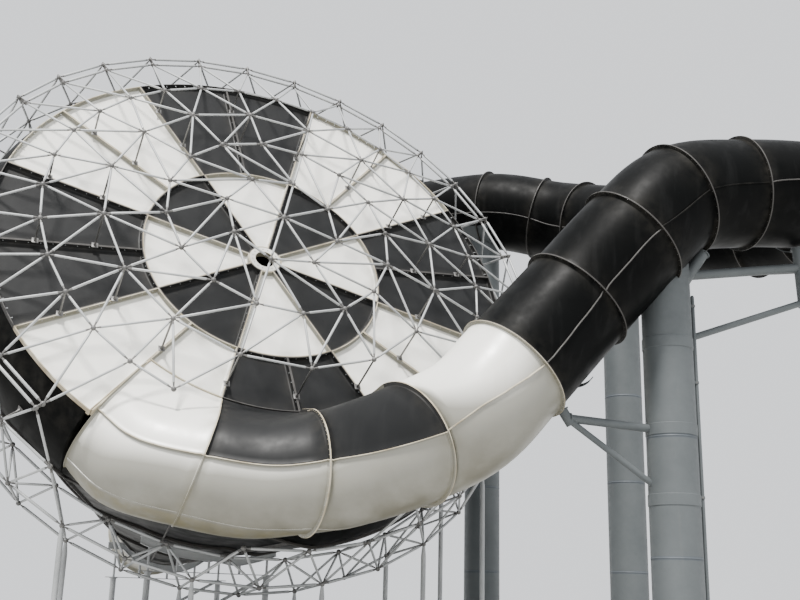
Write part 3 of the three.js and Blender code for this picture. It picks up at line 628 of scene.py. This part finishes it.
def outer_roof():
    """The outer panels, each in two halves. Panels b and bl stop at the trough's roof."""
    for k, name in enumerate(OUTER_NAMES):
        form = Form()
        a0 = START + SECTOR * k
        middle, a1 = a0 + SECTOR / 2, a0 + SECTOR
        left_end = VALLEY_R if name == "b" else SEAM_R
        right_end = VALLEY_R if name in ("b", "bl") else SEAM_R
        panel(form, a0, middle, INNER_R, left_end)
        panel(form, middle, a1, INNER_R, right_end)
        if name == "b":
            panel(form, a0 + 0.75 * SECTOR, a1, VALLEY_R, SEAM_R)
        if name == "bl":
            roof_skin(form, *TROUGH[2:])
            panel_side(form, middle)
        joint_bolts(form, a0, INNER_R, left_end)
        joint_bolts(form, middle, INNER_R, min(left_end, right_end))
        if right_end == SEAM_R:
            arc_bolts(form, SEAM_R - 0.06, middle, a1)
        form.piece(f"roof_outer_{name}", "shell", *coat(k % 2 == 0))


def roof_over_trough():
    """The black roof on the trough's first two sections, with pale flanges."""
    form = Form()
    roof_skin(form, *TROUGH[:2])
    roof_skin(form, *TROUGH[1:3])
    ring_bolts(form, BOLTED_JOINT, np.arange(SEAM + 4, 95, 5.0))
    form.piece("roof_over_trough", "shell", "black_shell", [BLACK, PALE_EDGE, PALE_EDGE])


def panel_side(form, deg):
    """The upright side where the flat panel stands beside the falling skin."""
    r = np.linspace(VALLEY_R + 0.01, SEAM_R - 0.05, 24)
    path = polar(r, deg + 0.25, PANEL_N - SKIN)
    rail(form, path, NORMAL, 0.045, SKIN + RIB, EDGE, 0.6)


def hub_ring():
    """The bolted ring round the hole in the middle of the roof."""
    form = Form()
    low, high = PANEL_N - SKIN, PANEL_N + RIB
    hole, out = 0.6 * HUB_R, HUB_R - 0.004
    cut = 0.012
    profile = [(out, low), (out, high - cut), (out - cut, high), (hole + cut, high),
               (hole, high - cut), (hole, low)]
    loft(form, np.array([polar(r, ROUND, n) for r, n in profile]),
         [FACE, EDGE, FACE, EDGE, FACE, FACE], [0.3, 0.8, 0.8, 0.8, 0.5, 0.3])
    deg = np.arange(0, 360, SECTOR / 2) + START
    middle = (hole + out) / 2
    rod(form, polar(middle, deg, high - 0.005), polar(middle, deg, high + 0.014), 0.017, 6, METAL)
    form.piece("roof_hub_ring", "shell", *coat(True))


# The raft tube

# How far the half shells' joint is turned from level, at places along the tube. The
# bends make it wander, so that it looks straight from the ground.
SEAM_ROLLS = np.array([
    (0, 20), (4, 20), (11, -9), (13, -9), (13.12, -13), (13.3, -17), (13.5, -19), (13.7, -17),
    (13.88, -13), (14, -9), (14.2, -6), (14.5, -4), (14.8, -6), (15, -9), (15.2, -2), (15.6, 5),
    (16.2, 7.5), (17, SEAM)])
PLAIN_SEAMS = (11, 12)  # sections whose side joint is as dark as the shell
FIRST_BOLTS = 0.012  # place of the bolts at the open start, so that they stay behind its face


def inside(a, b, step):
    """Stations from joint a to joint b, ending just short of both flanges."""
    return [Station(a, 0.05), *(Station(i) for i in stretch(a, b, step)[1:-1]), Station(b, -0.05)]


def line_on_tube(spots, degs):
    """Points on the tube's skin, one at each station, and the way out there."""
    out = np.array([s.out(deg) for s, deg in zip(spots, degs)])
    return np.array([s.point for s in spots]) + TUBE * out, out


def ring_bolts(form, i, degs):
    station = Station(i)
    centres = station.ring(TUBE + RING_BOLT, degs)
    bolts(form, centres, station.along, 0.032, METAL, 0.009)


def pipe(form, rows, ring, radius, over, within):
    """A pipe from rows of a place, a flange's height and a grime value. ring gives the points at a place
    and radius, and within is the grime value of its inside."""
    outer = [ring(place, radius + h) for place, h, stain in rows]
    inner = [ring(place, radius - SKIN) for place, h, stain in rows[::-1]]
    looks = [EDGE if h > over else FACE for place, h, stain in rows] + [FACE] * len(rows)
    stains = [stain for place, h, stain in rows] + [within] * len(rows)
    loft(form, np.array(outer + inner), looks, stains)


def tube_section(form, a, b):
    """A section of the raft tube: a ring flange at each end, and a joint on both sides."""
    rows = [(s, h, math.exp(-away / 0.22)) for s, h, away in rows_along(a, b)]
    pipe(form, rows, lambda s, radius: s.ring(radius, ROUND), TUBE, 0.095, 0.4)
    spots = inside(a, b, 0.25)
    edge, metal = (FACE, FACE) if a in PLAIN_SEAMS else (EDGE, METAL)
    for half in (0, 180):
        rolls = [np.interp(s.i, *SEAM_ROLLS.T) + half for s in spots]
        path, out = line_on_tube(spots, rolls)
        rail(form, path, out, 0.03, 0.045, edge, 0.7)
        side = unit(np.cross(np.gradient(path, axis=0), out))
        bolts(form, (path + 0.028 * out)[1:-1], side[1:-1], 0.024, metal, 0.008)
    ring_bolts(form, a or FIRST_BOLTS, ROUND[1::2])


def raft_tube():
    """Black sections, and a white one next to the trough."""
    for k, (a, b) in enumerate(zip(JOINTS, JOINTS[1:])):
        form = Form()
        tube_section(form, a, b)
        form.piece(f"tube_{k + 1:02d}", "shell",
                   *(coat(True) if b == TROUGH[0] else ("black_shell", TUBE_LOOKS)))


def trough_edge(i):
    """The angle of the trough's lower edge, where the bowl's side is open."""
    return -150 + 75 * (i - TROUGH[0]) / 6


# The ledge along the trough: place along the tube, and angle
CREASE = np.array([(17.8, -95), (18.25, -89), (19, -70), (19.7, -63), (20.5, -59), (21, -57),
                   (23, -56)])


def crease_at(i):
    """The angle of the ledge along the trough. Below it the shell gets brown grime and painted shade."""
    return np.interp(i, *CREASE.T)


def trough():
    """The open part of the tube, whose upper half is the roof."""
    lips = SEAM - np.degrees(TROUGH_LIP[:, 0] / TUBE)
    for k, (a, b) in enumerate(zip(TROUGH, TROUGH[1:])):
        form = Form()
        rows = []
        for station, high, away in rows_along(a, b):
            degs = np.concatenate([lips, np.linspace(lips[-1], trough_edge(station.i), 33)[1:]])
            high *= 1.0 if abs(station.i - BOLTED_JOINT) < 1 else 0.3
            rise = np.full(len(degs), high)
            rise[:len(lips)] = np.maximum(TROUGH_LIP[:, 1], high)
            # Below the crease the value is raised to 2.2: brown grime and painted shade on the trough's
            # lower side.
            below = np.clip((crease_at(station.i) - degs) / 2, 0, 1) * 2.2
            stain = np.maximum(1.6 * math.exp(-away / 0.1), below)
            rows.append((station.ring(TUBE + rise, degs), station.ring(TUBE - SKIN, degs), rise, stain))
        flanged(form, rows, 0.06)
        if a == BOLTED_JOINT:
            ring_bolts(form, a, np.arange(SEAM - 5, trough_edge(a), -6.0))
        spots = inside(max(a, CREASE[0, 0]), b, 0.3)
        path, out = line_on_tube(spots, [crease_at(s.i) for s in spots])
        rail(form, path, out, 0.08, 0.012, FACE, 0.0)
        form.piece(f"trough_{k + 1}", "shell", *coat(True))


# The bowl

FIRST_OPEN = TROUGH[0] + 2 / 3  # where the bowl begins to hang from the trough
LAST_OPEN = 230.75  # and the angle of the disc where that ends
CONE_ROWS = 12
BEND_R, BEND_N = 0.922 * RIM, -0.085 * RIM  # where the shell bends into the rim wall
WALL_TOP, WALL_FOOT = -0.15, -0.27  # levels of the rim wall's ends, in rim radii


def bowl_columns():
    """The bowl's columns: its angle, and where it starts along the trough, or nothing."""
    hung = [(LAST_OPEN if i == TROUGH[-1] else angle_of(curve(i)[0]), i)
            for i in np.linspace(TROUGH[-1], FIRST_OPEN, 49)]
    plain = np.arange(hung[-1][0] + 0.4, 360 + LAST_OPEN - 0.35, 1.40625)
    return hung + [(deg, None) for deg in plain]


def rounded(points, reach, count=4):
    """A line of points with its inner corners rounded off."""
    line = [points[0]]
    for before, here, after in zip(points, points[1:], points[2:]):
        a = here + unit(before - here) * min(reach, 0.45 * np.linalg.norm(before - here))
        b = here + unit(after - here) * min(reach, 0.45 * np.linalg.norm(after - here))
        for t in np.linspace(0, 1, count):
            line.append((1 - t) ** 2 * a + 2 * t * (1 - t) * here + t * t * b)
    return np.array(line + [points[-1]])


def bowl_line(deg, i, inset):
    """One column of the bowl, this far inside its skin, from the rim to the outlet."""
    def wall(n, less=0.0, dn=0.0):
        return polar(WALL_R - less - inset, deg, n * RIM + dn * inset)

    a = math.radians(deg)
    reach = OUTLET_R - inset
    mouth = np.array([reach * math.cos(a), OUTLET_Y, OUTLET_Z + reach * math.sin(a)])
    narrow = 0.0
    if i is None:
        top = [polar(SEAM_R + GAP, deg, PANEL_N - inset),
               polar(BEND_R - 0.8 * inset, deg, BEND_N - 0.6 * inset), wall(WALL_TOP)]
    else:
        station = Station(i)
        g = np.array([trough_edge(i) - 0.15, trough_edge(i) - 1.2])
        edge = station.ring(TUBE - inset, g)
        n = (station.ring(TUBE, g)[0] - CENTRE) @ NORMAL / RIM
        top = [edge[0], edge[1], wall(min(WALL_TOP, n - 0.035))]
        narrow = 0.045 * RIM * np.clip(min(TROUGH[-1] - i, i - FIRST_OPEN) / 1.4, 0, 1)
    return rounded(np.array([*top, wall(WALL_FOOT, narrow, 0.3), mouth]), 0.3)


def bowl_skin(columns, inset):
    """Rows of points from the rim down the wall and the cone to the outlet."""
    share = np.linspace(0, 1, CONE_ROWS + 1)[1:, None]
    lines = []
    for deg, i in columns:
        line = bowl_line(deg, i, inset)
        lines.append(np.concatenate([line[:-1], line[-2] + share * (line[-1] - line[-2])]))
    return np.array(lines).transpose(1, 0, 2)


def bowl():
    form = Form()
    columns = bowl_columns()
    outer, inner = bowl_skin(columns, 0.0), bowl_skin(columns, SKIN)
    start = len(outer) - CONE_ROWS - 1
    stain = np.repeat(np.where(np.arange(len(outer)) < 6, 0.5, 0.15)[:, None], len(columns), axis=1)
    shell(form, outer, inner, FACE, stain, wrap=True)
    # Standing flanges down the cone, and round its joints
    degs = np.array([deg for deg, i in columns])
    out = unit(outer - outer.mean(axis=1, keepdims=True))
    for deg in np.arange(START, START + 360, SECTOR / 2):
        j = int(np.argmin(np.abs((degs - deg + 180) % 360 - 180)))
        rail(form, outer[start:, j], out[start:, j], 0.05, 0.08, EDGE, 0.5)
    for row in (start, start + 4, start + 8):
        rail(form, *(np.concatenate([p[row], p[row, :2]]) for p in (outer, out)), 0.06, 0.09, EDGE, 0.6)
    form.piece("bowl_funnel", "shell", "black_shell", TUBE_LOOKS)


def outlet_ring(along, radius, deg):
    """Points round the outlet, this far along it."""
    a = np.radians(deg)
    return np.stack([radius * np.cos(a), OUTLET_Y + along + 0 * a,
                     OUTLET_Z - OUTLET_FALL * along + radius * np.sin(a)], -1)


def outlet():
    """The short pipe at the funnel's end, with a ring flange at each end."""
    form = Form()
    rows = [(GAP + 0.0001 + d, h) for d, h in RING_EDGE]
    rows += [(y, 0.0) for y in np.linspace(0.25, OUTLET_LONG - 0.25, 9)]
    rows += [(OUTLET_LONG + GAP - d, h) for d, h in RING_EDGE[::-1]]
    pipe(form, [(y, h, 0.8 if h else 0.25) for y, h in rows],
         lambda y, radius: outlet_ring(y, radius, ROUND), OUTLET_R, 0.05, 0.6)
    for y in (0.03, OUTLET_LONG - 0.03):
        bolts(form, outlet_ring(y, OUTLET_R + RING_BOLT, ROUND[::4]), [0, 1, 0], 0.05, METAL)
    y = np.linspace(0.06, OUTLET_LONG - 0.06, 10)
    for deg in (6, 174):
        out = outlet_ring(0.0, 1.0, deg) - (0.0, OUTLET_Y, OUTLET_Z)
        rail(form, outlet_ring(y, OUTLET_R, deg + 0 * y), out, 0.05, 0.06, EDGE, 0.6)
    form.piece("bowl_outlet", "shell", *coat(True))


# The space frame. Its rings of nodes: how many, first angle, radius, height, in rim radii
RINGS = {
    "A": (32, 0, 1, 0), "P": (32, 0, 0.975, -0.004), "B": (32, 5.625, 0.745, 0.08),
    "C": (16, 5.625, 0.565, 0.124), "D": (16, 5.625, 0.379, 0.156), "E": (8, 28.125, 0.191, 0.172),
    "H": (32, 5.625, 1.01, -0.169), "G": (32, 0, 1.036, -0.35), "I": (32, 5.625, 0.941, -0.356),
    "K": (32, 0, 0.96, -0.552)}
LEFT_OUT = [25, 26, 27]  # nodes of ring B, where the tube comes in
LEGS = [19, 21, 23, 25, 27, 29]  # nodes of rings G and K that stand on a leg
TROUGH_FROM, TROUGH_TO = 225, 300  # the disc's angles where the trough leaves no room for posts
APEX = polar(0.0, 0.0, 0.185 * RIM)
THIN, THICK = 0.034, 0.040  # radii of the tubes
BALL = 0.072  # radius of a node


def node_at(ring, k):
    n, first, r, h = RINGS[ring]
    return polar(r * RIM, first + 360 * (k % n) / n, h * RIM)


def ring_angle(ring, k):
    n, first = RINGS[ring][:2]
    return (first + 360 * (k % n) / n) % 360


def clear_of_tube(a, b):
    """Whether a bar passes clear of the raft tube and the trough."""
    way = b - a
    t = np.clip(((FRAME_SPINE - a) @ way) / (way @ way), 0, 1)
    return np.linalg.norm(FRAME_SPINE - a - t[:, None] * way, axis=1).min() > TUBE + 0.15


def key_of(p):
    """A name for a place, the same for all members that meet there."""
    return tuple(np.round(p, 3) + 0.0)


def firm(members):
    """The members that clear the tube, without those at nodes left with one member or two.
    A member is its two ends and its radius. A post has no radius, and only its first end
    is at a node."""
    kept = [m for m in members if clear_of_tube(m[0], m[1])]
    for _ in range(3):
        count = Counter(key_of(p) for m in kept for p in m[:2])
        kept = [m for m in kept if count[key_of(m[0])] > 2 and (not m[2] or count[key_of(m[1])] > 2)]
    return kept


def bars(form, members):
    """Frame tubes between nodes, each end drawn down to a dark cone and a bolt."""
    neck, collar, cone = BALL - 0.012, BALL + 0.05, BALL + 0.115
    for radius in (THIN, THICK):
        pairs = [m[:2] for m in members if m[2] == radius]
        if not pairs:
            continue
        a, b = np.array(pairs).transpose(1, 0, 2)
        turned(form, a, b, [(radius - 0.004, cone, 0), (radius, cone + 0.01, 0),
                            (radius, -cone - 0.01, 1), (radius - 0.004, -cone, 1)], 10, BAR)
        profile = [(0.016, neck, 0), (0.016, BALL + 0.02, 0), (0.024, BALL + 0.022, 0),
                   (0.024, collar, 0), (radius - 0.003, cone + 0.002, 0)]
        turned(form, a, b, profile, 8, KNOT)
        turned(form, b, a, profile, 8, KNOT)


def used_nodes(members):
    """The nodes that the members meet at, each once."""
    spots = {key_of(p): p for m in members for p in m[:2 if m[2] else 1]}
    return list(spots.values())


def posts(form, members, out_of):
    """Short posts, each with a cone and a foot plate at its lower end."""
    for top, foot, radius in members:
        if radius:
            continue
        turned(form, top, foot, [(0.022, BALL - 0.01, 0), (0.028, BALL + 0.1, 0), (0.028, -0.16, 1),
                                 (0.020, -0.15, 1), (0.045, -0.012, 1), (0.045, 0, 1)], 10, KNOT)
        out = out_of(foot)
        side = unit(np.cross(out, ACROSS))
        slab(form, foot, side * 0.09, np.cross(out, side) * 0.09, out * 0.006, 0.003, KNOT)


def link(ring, k, other, j, radius=THIN):
    """A member between two rings' nodes."""
    return node_at(ring, k), node_at(other, j), radius


def dome_members():
    """Rings P to E and the tubes between them, and the posts to the roof."""
    members = []
    for k in range(32):
        members += [link("P", k, "B", k), link("P", k + 1, "B", k), link("B", k, "B", k + 1),
                    link("P", k, "P", k + 1, THICK)]
    for k in range(16):
        members += [link("C", k, "B", 2 * k + j) for j in (-1, 0, 1)]
        members += [link("C", k, "C", k + 1), link("C", k, "D", k), link("D", k, "C", k - 1),
                    link("D", k, "D", k + 1)]
    for k in range(8):
        members += [link("E", k, "D", 2 * k + j) for j in (1, 2, 3)]
        members += [link("E", k, "E", k + 1), (node_at("E", k), APEX, THIN)]
    for ring, picks in (("C", range(16)), ("B", range(0, 32, 2))):
        for k in picks:
            deg = ring_angle(ring, k)
            if ring == "C" or deg < TROUGH_FROM or deg > TROUGH_TO:
                foot = polar(RINGS[ring][2] * RIM, deg, PANEL_N + RIB + 0.007)
                members.append((node_at(ring, k), foot, 0))
    gone = [key_of(node_at("B", k)) for k in LEFT_OUT]
    return firm([m for m in members if key_of(m[0]) not in gone and key_of(m[1]) not in gone])


def dome():
    """The shallow dome of tubes in front of the roof, on posts."""
    form = Form()
    members = dome_members()
    bars(form, members)
    balls(form, used_nodes(members), BALL, KNOT)
    posts(form, members, lambda foot: NORMAL)
    form.piece("dome_frame", *FRAME_STEEL)


def drum_members():
    """Rings A, H, G, I and K, the tubes between them, and the posts to the bowl's wall."""
    members = []
    for k in range(32):
        members += [link(ring, k, ring, k + 1, THICK) for ring in "AHGIK"]
        members += [link("A", k, "H", k), link("A", k + 1, "H", k), link("G", k, "H", k),
                    link("G", k + 1, "H", k), link("I", k, "H", k), link("I", k, "G", k),
                    link("I", k, "G", k + 1), link("K", k, "G", k), link("K", k, "I", k),
                    link("K", k, "I", k - 1)]
    for k in range(1, 32, 2):
        deg = ring_angle("H", k)
        if deg < TROUGH_FROM or deg > TROUGH_TO:
            members.append((node_at("H", k), polar(WALL_R + 0.008, deg, RINGS["H"][3] * RIM), 0))
    return firm(members)


def part_of(p):
    """Which of the drum's eight parts a point is in."""
    return int(((angle_of(p) - 8.425) % 360) // 45)


def outwards(p):
    """The way out from the disc's axis at a point."""
    return polar(1.0, angle_of(p), 0) - CENTRE


def drum():
    """The drum round the rim, in the eight parts that it is bolted up from."""
    members = drum_members()
    nodes = used_nodes(members)
    kept = {key_of(p) for p in nodes}
    for part in range(8):
        form = Form()
        here = [m for m in members if part_of((m[0] + m[1]) / 2) == part]
        bars(form, here)
        posts(form, here, outwards)
        balls(form, [p for p in nodes if part_of(p) == part], BALL, KNOT)
        for k in range(32):
            spot = node_at("A", k)
            if part_of(spot) == part and key_of(spot) in kept:
                rim_lug(form, spot, node_at("P", k))
        for top in (node_at(ring, j) for ring in "GK" for j in LEGS):
            if part_of(top) == part:
                leg(form, top)
        form.piece(f"drum_frame_{part + 1}", *FRAME_STEEL)


def rim_lug(form, spot, mate):
    """The plate that joins a rim node of the drum to its mate in the dome."""
    out = unit(spot - mate)
    side = unit(np.cross(out, NORMAL))
    slab(form, (spot + mate) / 2, out * 0.19, side * 0.012, np.cross(out, side) * 0.075, 0.004, KNOT)


def leg(form, top):
    """An upright under one of the lower rings, on a stiffened base plate."""
    foot = np.array([top[0], top[1], 0.0])
    turned(form, foot, top, [(0.075, 0.03, 0), (0.075, -0.35, 1), (0.05, -0.12, 1), (0.04, -0.05, 1)],
           20, BAR)
    base_plate(form, foot, 0.21, 0.03, 0.075, 0.18)


def level_way(deg):
    """The level direction at an angle from +X."""
    a = math.radians(deg)
    return np.array([math.cos(a), math.sin(a), 0])


def base_plate(form, foot, half, thick, radius, stiff):
    """A square plate with stiffening webs round an upright, and anchor bolts."""
    slab(form, foot + UP * thick / 2, ACROSS * half, (0, half, 0), UP * thick / 2, 0.005, BAR, 0.5)
    for k in range(8):
        out = level_way(45 * k)
        reach = half * (1.15 if k % 2 else 0.93)
        side = np.cross(UP, out) * 0.012
        web = np.array([foot + out * r + UP * z for r, z in (
            (radius * 0.97, thick * 0.9), (reach, thick * 0.9), (reach, thick + 0.03),
            (radius + 0.03, thick + stiff), (radius * 0.97, thick + stiff))])
        form.block([web - side, web + side], BAR, 0.4)
        spot = foot + level_way(45 * k + 22.5) * half * 0.94
        turned(form, spot + UP * (thick - 0.002), spot + UP * (thick + 0.09),
               [(0.034, 0, 0), (0.034, 0.028, 0), (0.018, 0.03, 0), (0.018, 0, 1)], 6, KNOT)


# Columns and supports

COLUMN_1, COLUMN_2, COLUMN_3 = (9.0, -7.4), (14.06, 1.62), (10.7, 6.05)
FIRST_WELD, WELD_STEP = 2.95, 3.05  # heights of the lowest weld and from weld to weld
TRESTLE_LEG, TRESTLE_END = 1.9, 2.19


def strap(form, i, g0, g1, low, high, wide):
    """A curved plate under the tube, from angle g0 to g1."""
    degs = np.linspace(g0, g1, 25)
    rows = [Station(i, d) for d in (-wide / 2, wide / 2)]
    outer, inner = (np.array([s.ring(TUBE + h, degs) for s in rows]) for h in (high, low))
    shell(form, outer, inner, BAR, 0.5)


def column_tube(form, x, y, top):
    """A rolled steel column with weld beads, coped to the tube that it carries."""
    sides = 64
    turn = np.arange(sides) * 2 * math.pi / sides

    def circle(radius, z):
        return np.stack([x + radius * np.cos(turn), y + radius * np.sin(turn), z + 0 * turn], 1)

    rim = circle(COLUMN, 5.0)
    tops = np.array([meets_tube(spot, (*spot[:2], top), TUBE + 0.012)[2] for spot in rim])
    rows, looks = [circle(COLUMN, 0.05)], []
    for z in np.arange(FIRST_WELD, tops.min() - 0.6, WELD_STEP):
        rows += [circle(COLUMN + (0.008 if d == 0 else 0), z + d) for d in (-0.05, -0.012, 0, 0.012, 0.05)]
        looks += [BAR, BEAD, BEAD, BEAD, BEAD]
    rows += [circle(COLUMN, tops), circle(0.97 * COLUMN, tops), circle(0.97 * COLUMN, 0.05)]
    loft(form, np.array(rows), looks + [BAR] * 4, 0.3)
    base_plate(form, np.array([x, y, 0.0]), 0.95, 0.05, COLUMN, 0.45)


def arm(form, a, b, radius):
    """A pipe arm, with a welded collar at its end."""
    collar = radius + 0.035
    turned(form, a, b, [(radius, 0, 0), (radius, -0.03, 1), (collar, -0.03, 1), (collar, 0, 1)],
           24, BAR)


def column_1():
    """The front column, with its arms, and a small pipe that is clamped to it."""
    form = Form()
    x, y = COLUMN_1
    column_tube(form, x, y, 11.3)
    for a, b, radius in (((x, y, 9.5), (10.14, -7.67, 11.2), 0.16),
                         ((13.2, -8.2, 9.95), (13.1, -8.2, 12.3), 0.2),
                         ((6.25, -6.9, 6.2), (5.5, -6.8, 7.3), 0.13)):
        arm(form, a, meets_tube(a, b, TUBE + 0.1), radius)
    for z, tip, radius in ((10.4, (13.2, -8.2, 11.1), 0.13), (8.5, (13.2, -8.2, 10.1), 0.09),
                           (6.2, (6.2, -6.9, 6.35), 0.11), (4.4, (6.2, -6.9, 6.3), 0.08)):
        arm(form, (x, y, z), tip, radius)
        turned(form, (x, y, z - 0.15), (x, y, z + 0.15),
               [(COLUMN + 0.004, 0, 0), (COLUMN + 0.014, 0.01, 0), (COLUMN + 0.014, -0.01, 1),
                (COLUMN + 0.004, 0, 1)], 64, BAR)
    for i, g1 in ((14.55, -70), (10, -50)):
        strap(form, i, -130, g1, 0.102, 0.125, 0.12)
    pipe = np.array([9.663, -7.694, 0.06])
    turned(form, pipe, pipe + UP * 9.84,
           [(0.046, 0, 0), (0.05, 0.01, 0), (0.05, -0.05, 1), (0.03, 0, 1)], 20, BAR)
    out = unit(np.array([0.663, -0.294, 0.0]))
    for z in (1.5, 4.5, 7.5, 9.6):
        spot = np.array([9.6, -7.666, z])
        slab(form, spot, out * 0.12, np.cross(UP, out) * 0.065, UP * 0.04, 0.008, BAR)
        clamp = spot + out * 0.063
        rod(form, clamp - UP * 0.02, clamp + UP * 0.02, 0.072, 20, KNOT)
    form.piece("column_1", *COLUMN_STEEL)


def plain_column(node, x, y, i):
    """A column under the tube at place i, with two collars and a saddle."""
    form = Form()
    column_tube(form, x, y, 18.0)
    for z in (12.2, 12.5):
        rod(form, (x, y, z), (x, y, z + 0.05), COLUMN + 0.05, 64, BAR)
    strap(form, i, -140, -40, 0.001, 0.03, 1.5)
    form.piece(node, *COLUMN_STEEL)


def saddle_line(y, low):
    """The top line of a trestle that follows the underside of the funnel: x and z."""
    cut = []
    for deg, i in bowl_columns():
        a, b = bowl_line(deg, i, 0.0)[-2:]
        share = (y - a[1]) / (b[1] - a[1])
        if 0 <= share <= 1:
            cut.append(a + share * (b - a))
    cut = np.array(cut)
    lower = cut[cut[:, 2] < cut[:, 2].mean()]
    lower = lower[np.argsort(lower[:, 0])]
    xs = np.linspace(-TRESTLE_END, TRESTLE_END, 41)
    tops = np.minimum(np.interp(xs, lower[:, 0], lower[:, 2]) - 0.095, low + 1.2)
    return xs, np.maximum(tops, low + 0.05)


def trestles():
    """Frames under the back of the funnel, with saddles that follow the cone."""
    for k, y, low in ((1, 4.3, 2.5), (2, 10.2, 2.4)):
        form = Form()
        xs, tops = saddle_line(y, low)
        under = np.maximum(tops - 0.22, low)
        web = np.array([[(x, y - 0.012, z) for x, z in zip(xs, line)] for line in (under, tops)])
        shell(form, web, web + [0, 0.024, 0], BAR, 0.4)
        for line, wide in ((tops, 0.26), (under, 0.12), (low + 0 * xs, 0.16)):
            path = np.stack([xs, y + 0 * xs, line], 1)
            out = unit(np.cross(unit(np.gradient(path, axis=0)), [0, -1, 0]))
            rail(form, path, out, wide, 0.012, BAR, 0.4, deep=0.012)
        for x in (-TRESTLE_LEG, -1.0, 0.0, 1.0, TRESTLE_LEG):
            high = float(np.interp(x, xs, under))
            if high > low + 0.1:
                rod(form, (x, y, low), (x, y, high), 0.04, 12, BAR)
        for x in (-TRESTLE_LEG, TRESTLE_LEG):
            foot = np.array([x, y, 0.0])
            turned(form, foot, (x, y, low), [(0.1, 0.03, 0), (0.1, -0.04, 1), (0.14, -0.04, 1),
                                             (0.14, -0.012, 1)], 24, BAR)
            base_plate(form, foot, 0.28, 0.03, 0.1, 0.22)
        turned(form, (-TRESTLE_LEG, y, 0.3), (TRESTLE_LEG, y, low),
               [(0.05, 0.1, 0), (0.05, -0.1, 1)], 16, BAR)
        form.piece(f"funnel_trestle_{k}", *TRESTLE_STEEL)


# The studio

def aim(thing, side, up, toward, spot):
    """Puts a camera or lamp at a spot, looking along toward."""
    turn = np.eye(4)
    turn[:3] = np.stack([side, up, -toward, spot], 1)
    thing.matrix_world = Matrix(turn.tolist())
    bpy.context.scene.collection.objects.link(thing)


def add_camera():
    """The photograph's camera, on a sensor 36 mm wide."""
    data = bpy.data.cameras.new("camera")
    data.lens, data.sensor_width, data.clip_end = LENS, 36.0, 1000.0
    camera = bpy.data.objects.new("camera", data)
    aim(camera, CAMERA_RIGHT, np.cross(CAMERA_RIGHT, CAMERA_LOOK), CAMERA_LOOK, CAMERA + SHIFT)
    bpy.context.scene.camera = camera


def add_floor():
    mesh = bpy.data.meshes.new("floor")
    half = 250.0
    mesh.from_pydata([(-half, -half, 0), (half, -half, 0), (half, half, 0), (-half, half, 0)], [],
                     [(0, 1, 2, 3)])
    floor = bpy.data.objects.new("floor", mesh)
    floor.location.z = -0.003
    mesh.materials.append(Look("floor_paint").finish((0.45, 0.45, 0.44, 1), 0.8))
    bpy.context.scene.collection.objects.link(floor)


def add_light():
    """A pale sky all round, and a broad sun high up behind the camera, a little to its left."""
    world = bpy.data.worlds.new("studio")
    world.use_nodes = True
    sky = world.node_tree.nodes["Background"].inputs
    sky["Color"].default_value = (0.86, 0.88, 0.91, 1)
    sky["Strength"].default_value = 1.4
    bpy.context.scene.world = world
    sun = bpy.data.lights.new("key", "SUN")
    sun.energy = 8.0
    sun.angle = math.radians(9)
    sun.color = (1.0, 0.98, 0.95)
    toward = unit(np.array([0.35, 0.35, -1.0]))
    side = unit(np.cross(toward, UP))
    aim(bpy.data.objects.new("key", sun), side, np.cross(side, toward), toward, np.zeros(3))


add_camera()
add_floor()
add_light()
inner_roof()
outer_roof()
roof_over_trough()
hub_ring()
trough()
raft_tube()
bowl()
outlet()
dome()
drum()
column_1()
plain_column("column_2", *COLUMN_2, 2.93)
plain_column("column_3", *COLUMN_3, 0.8)
trestles()
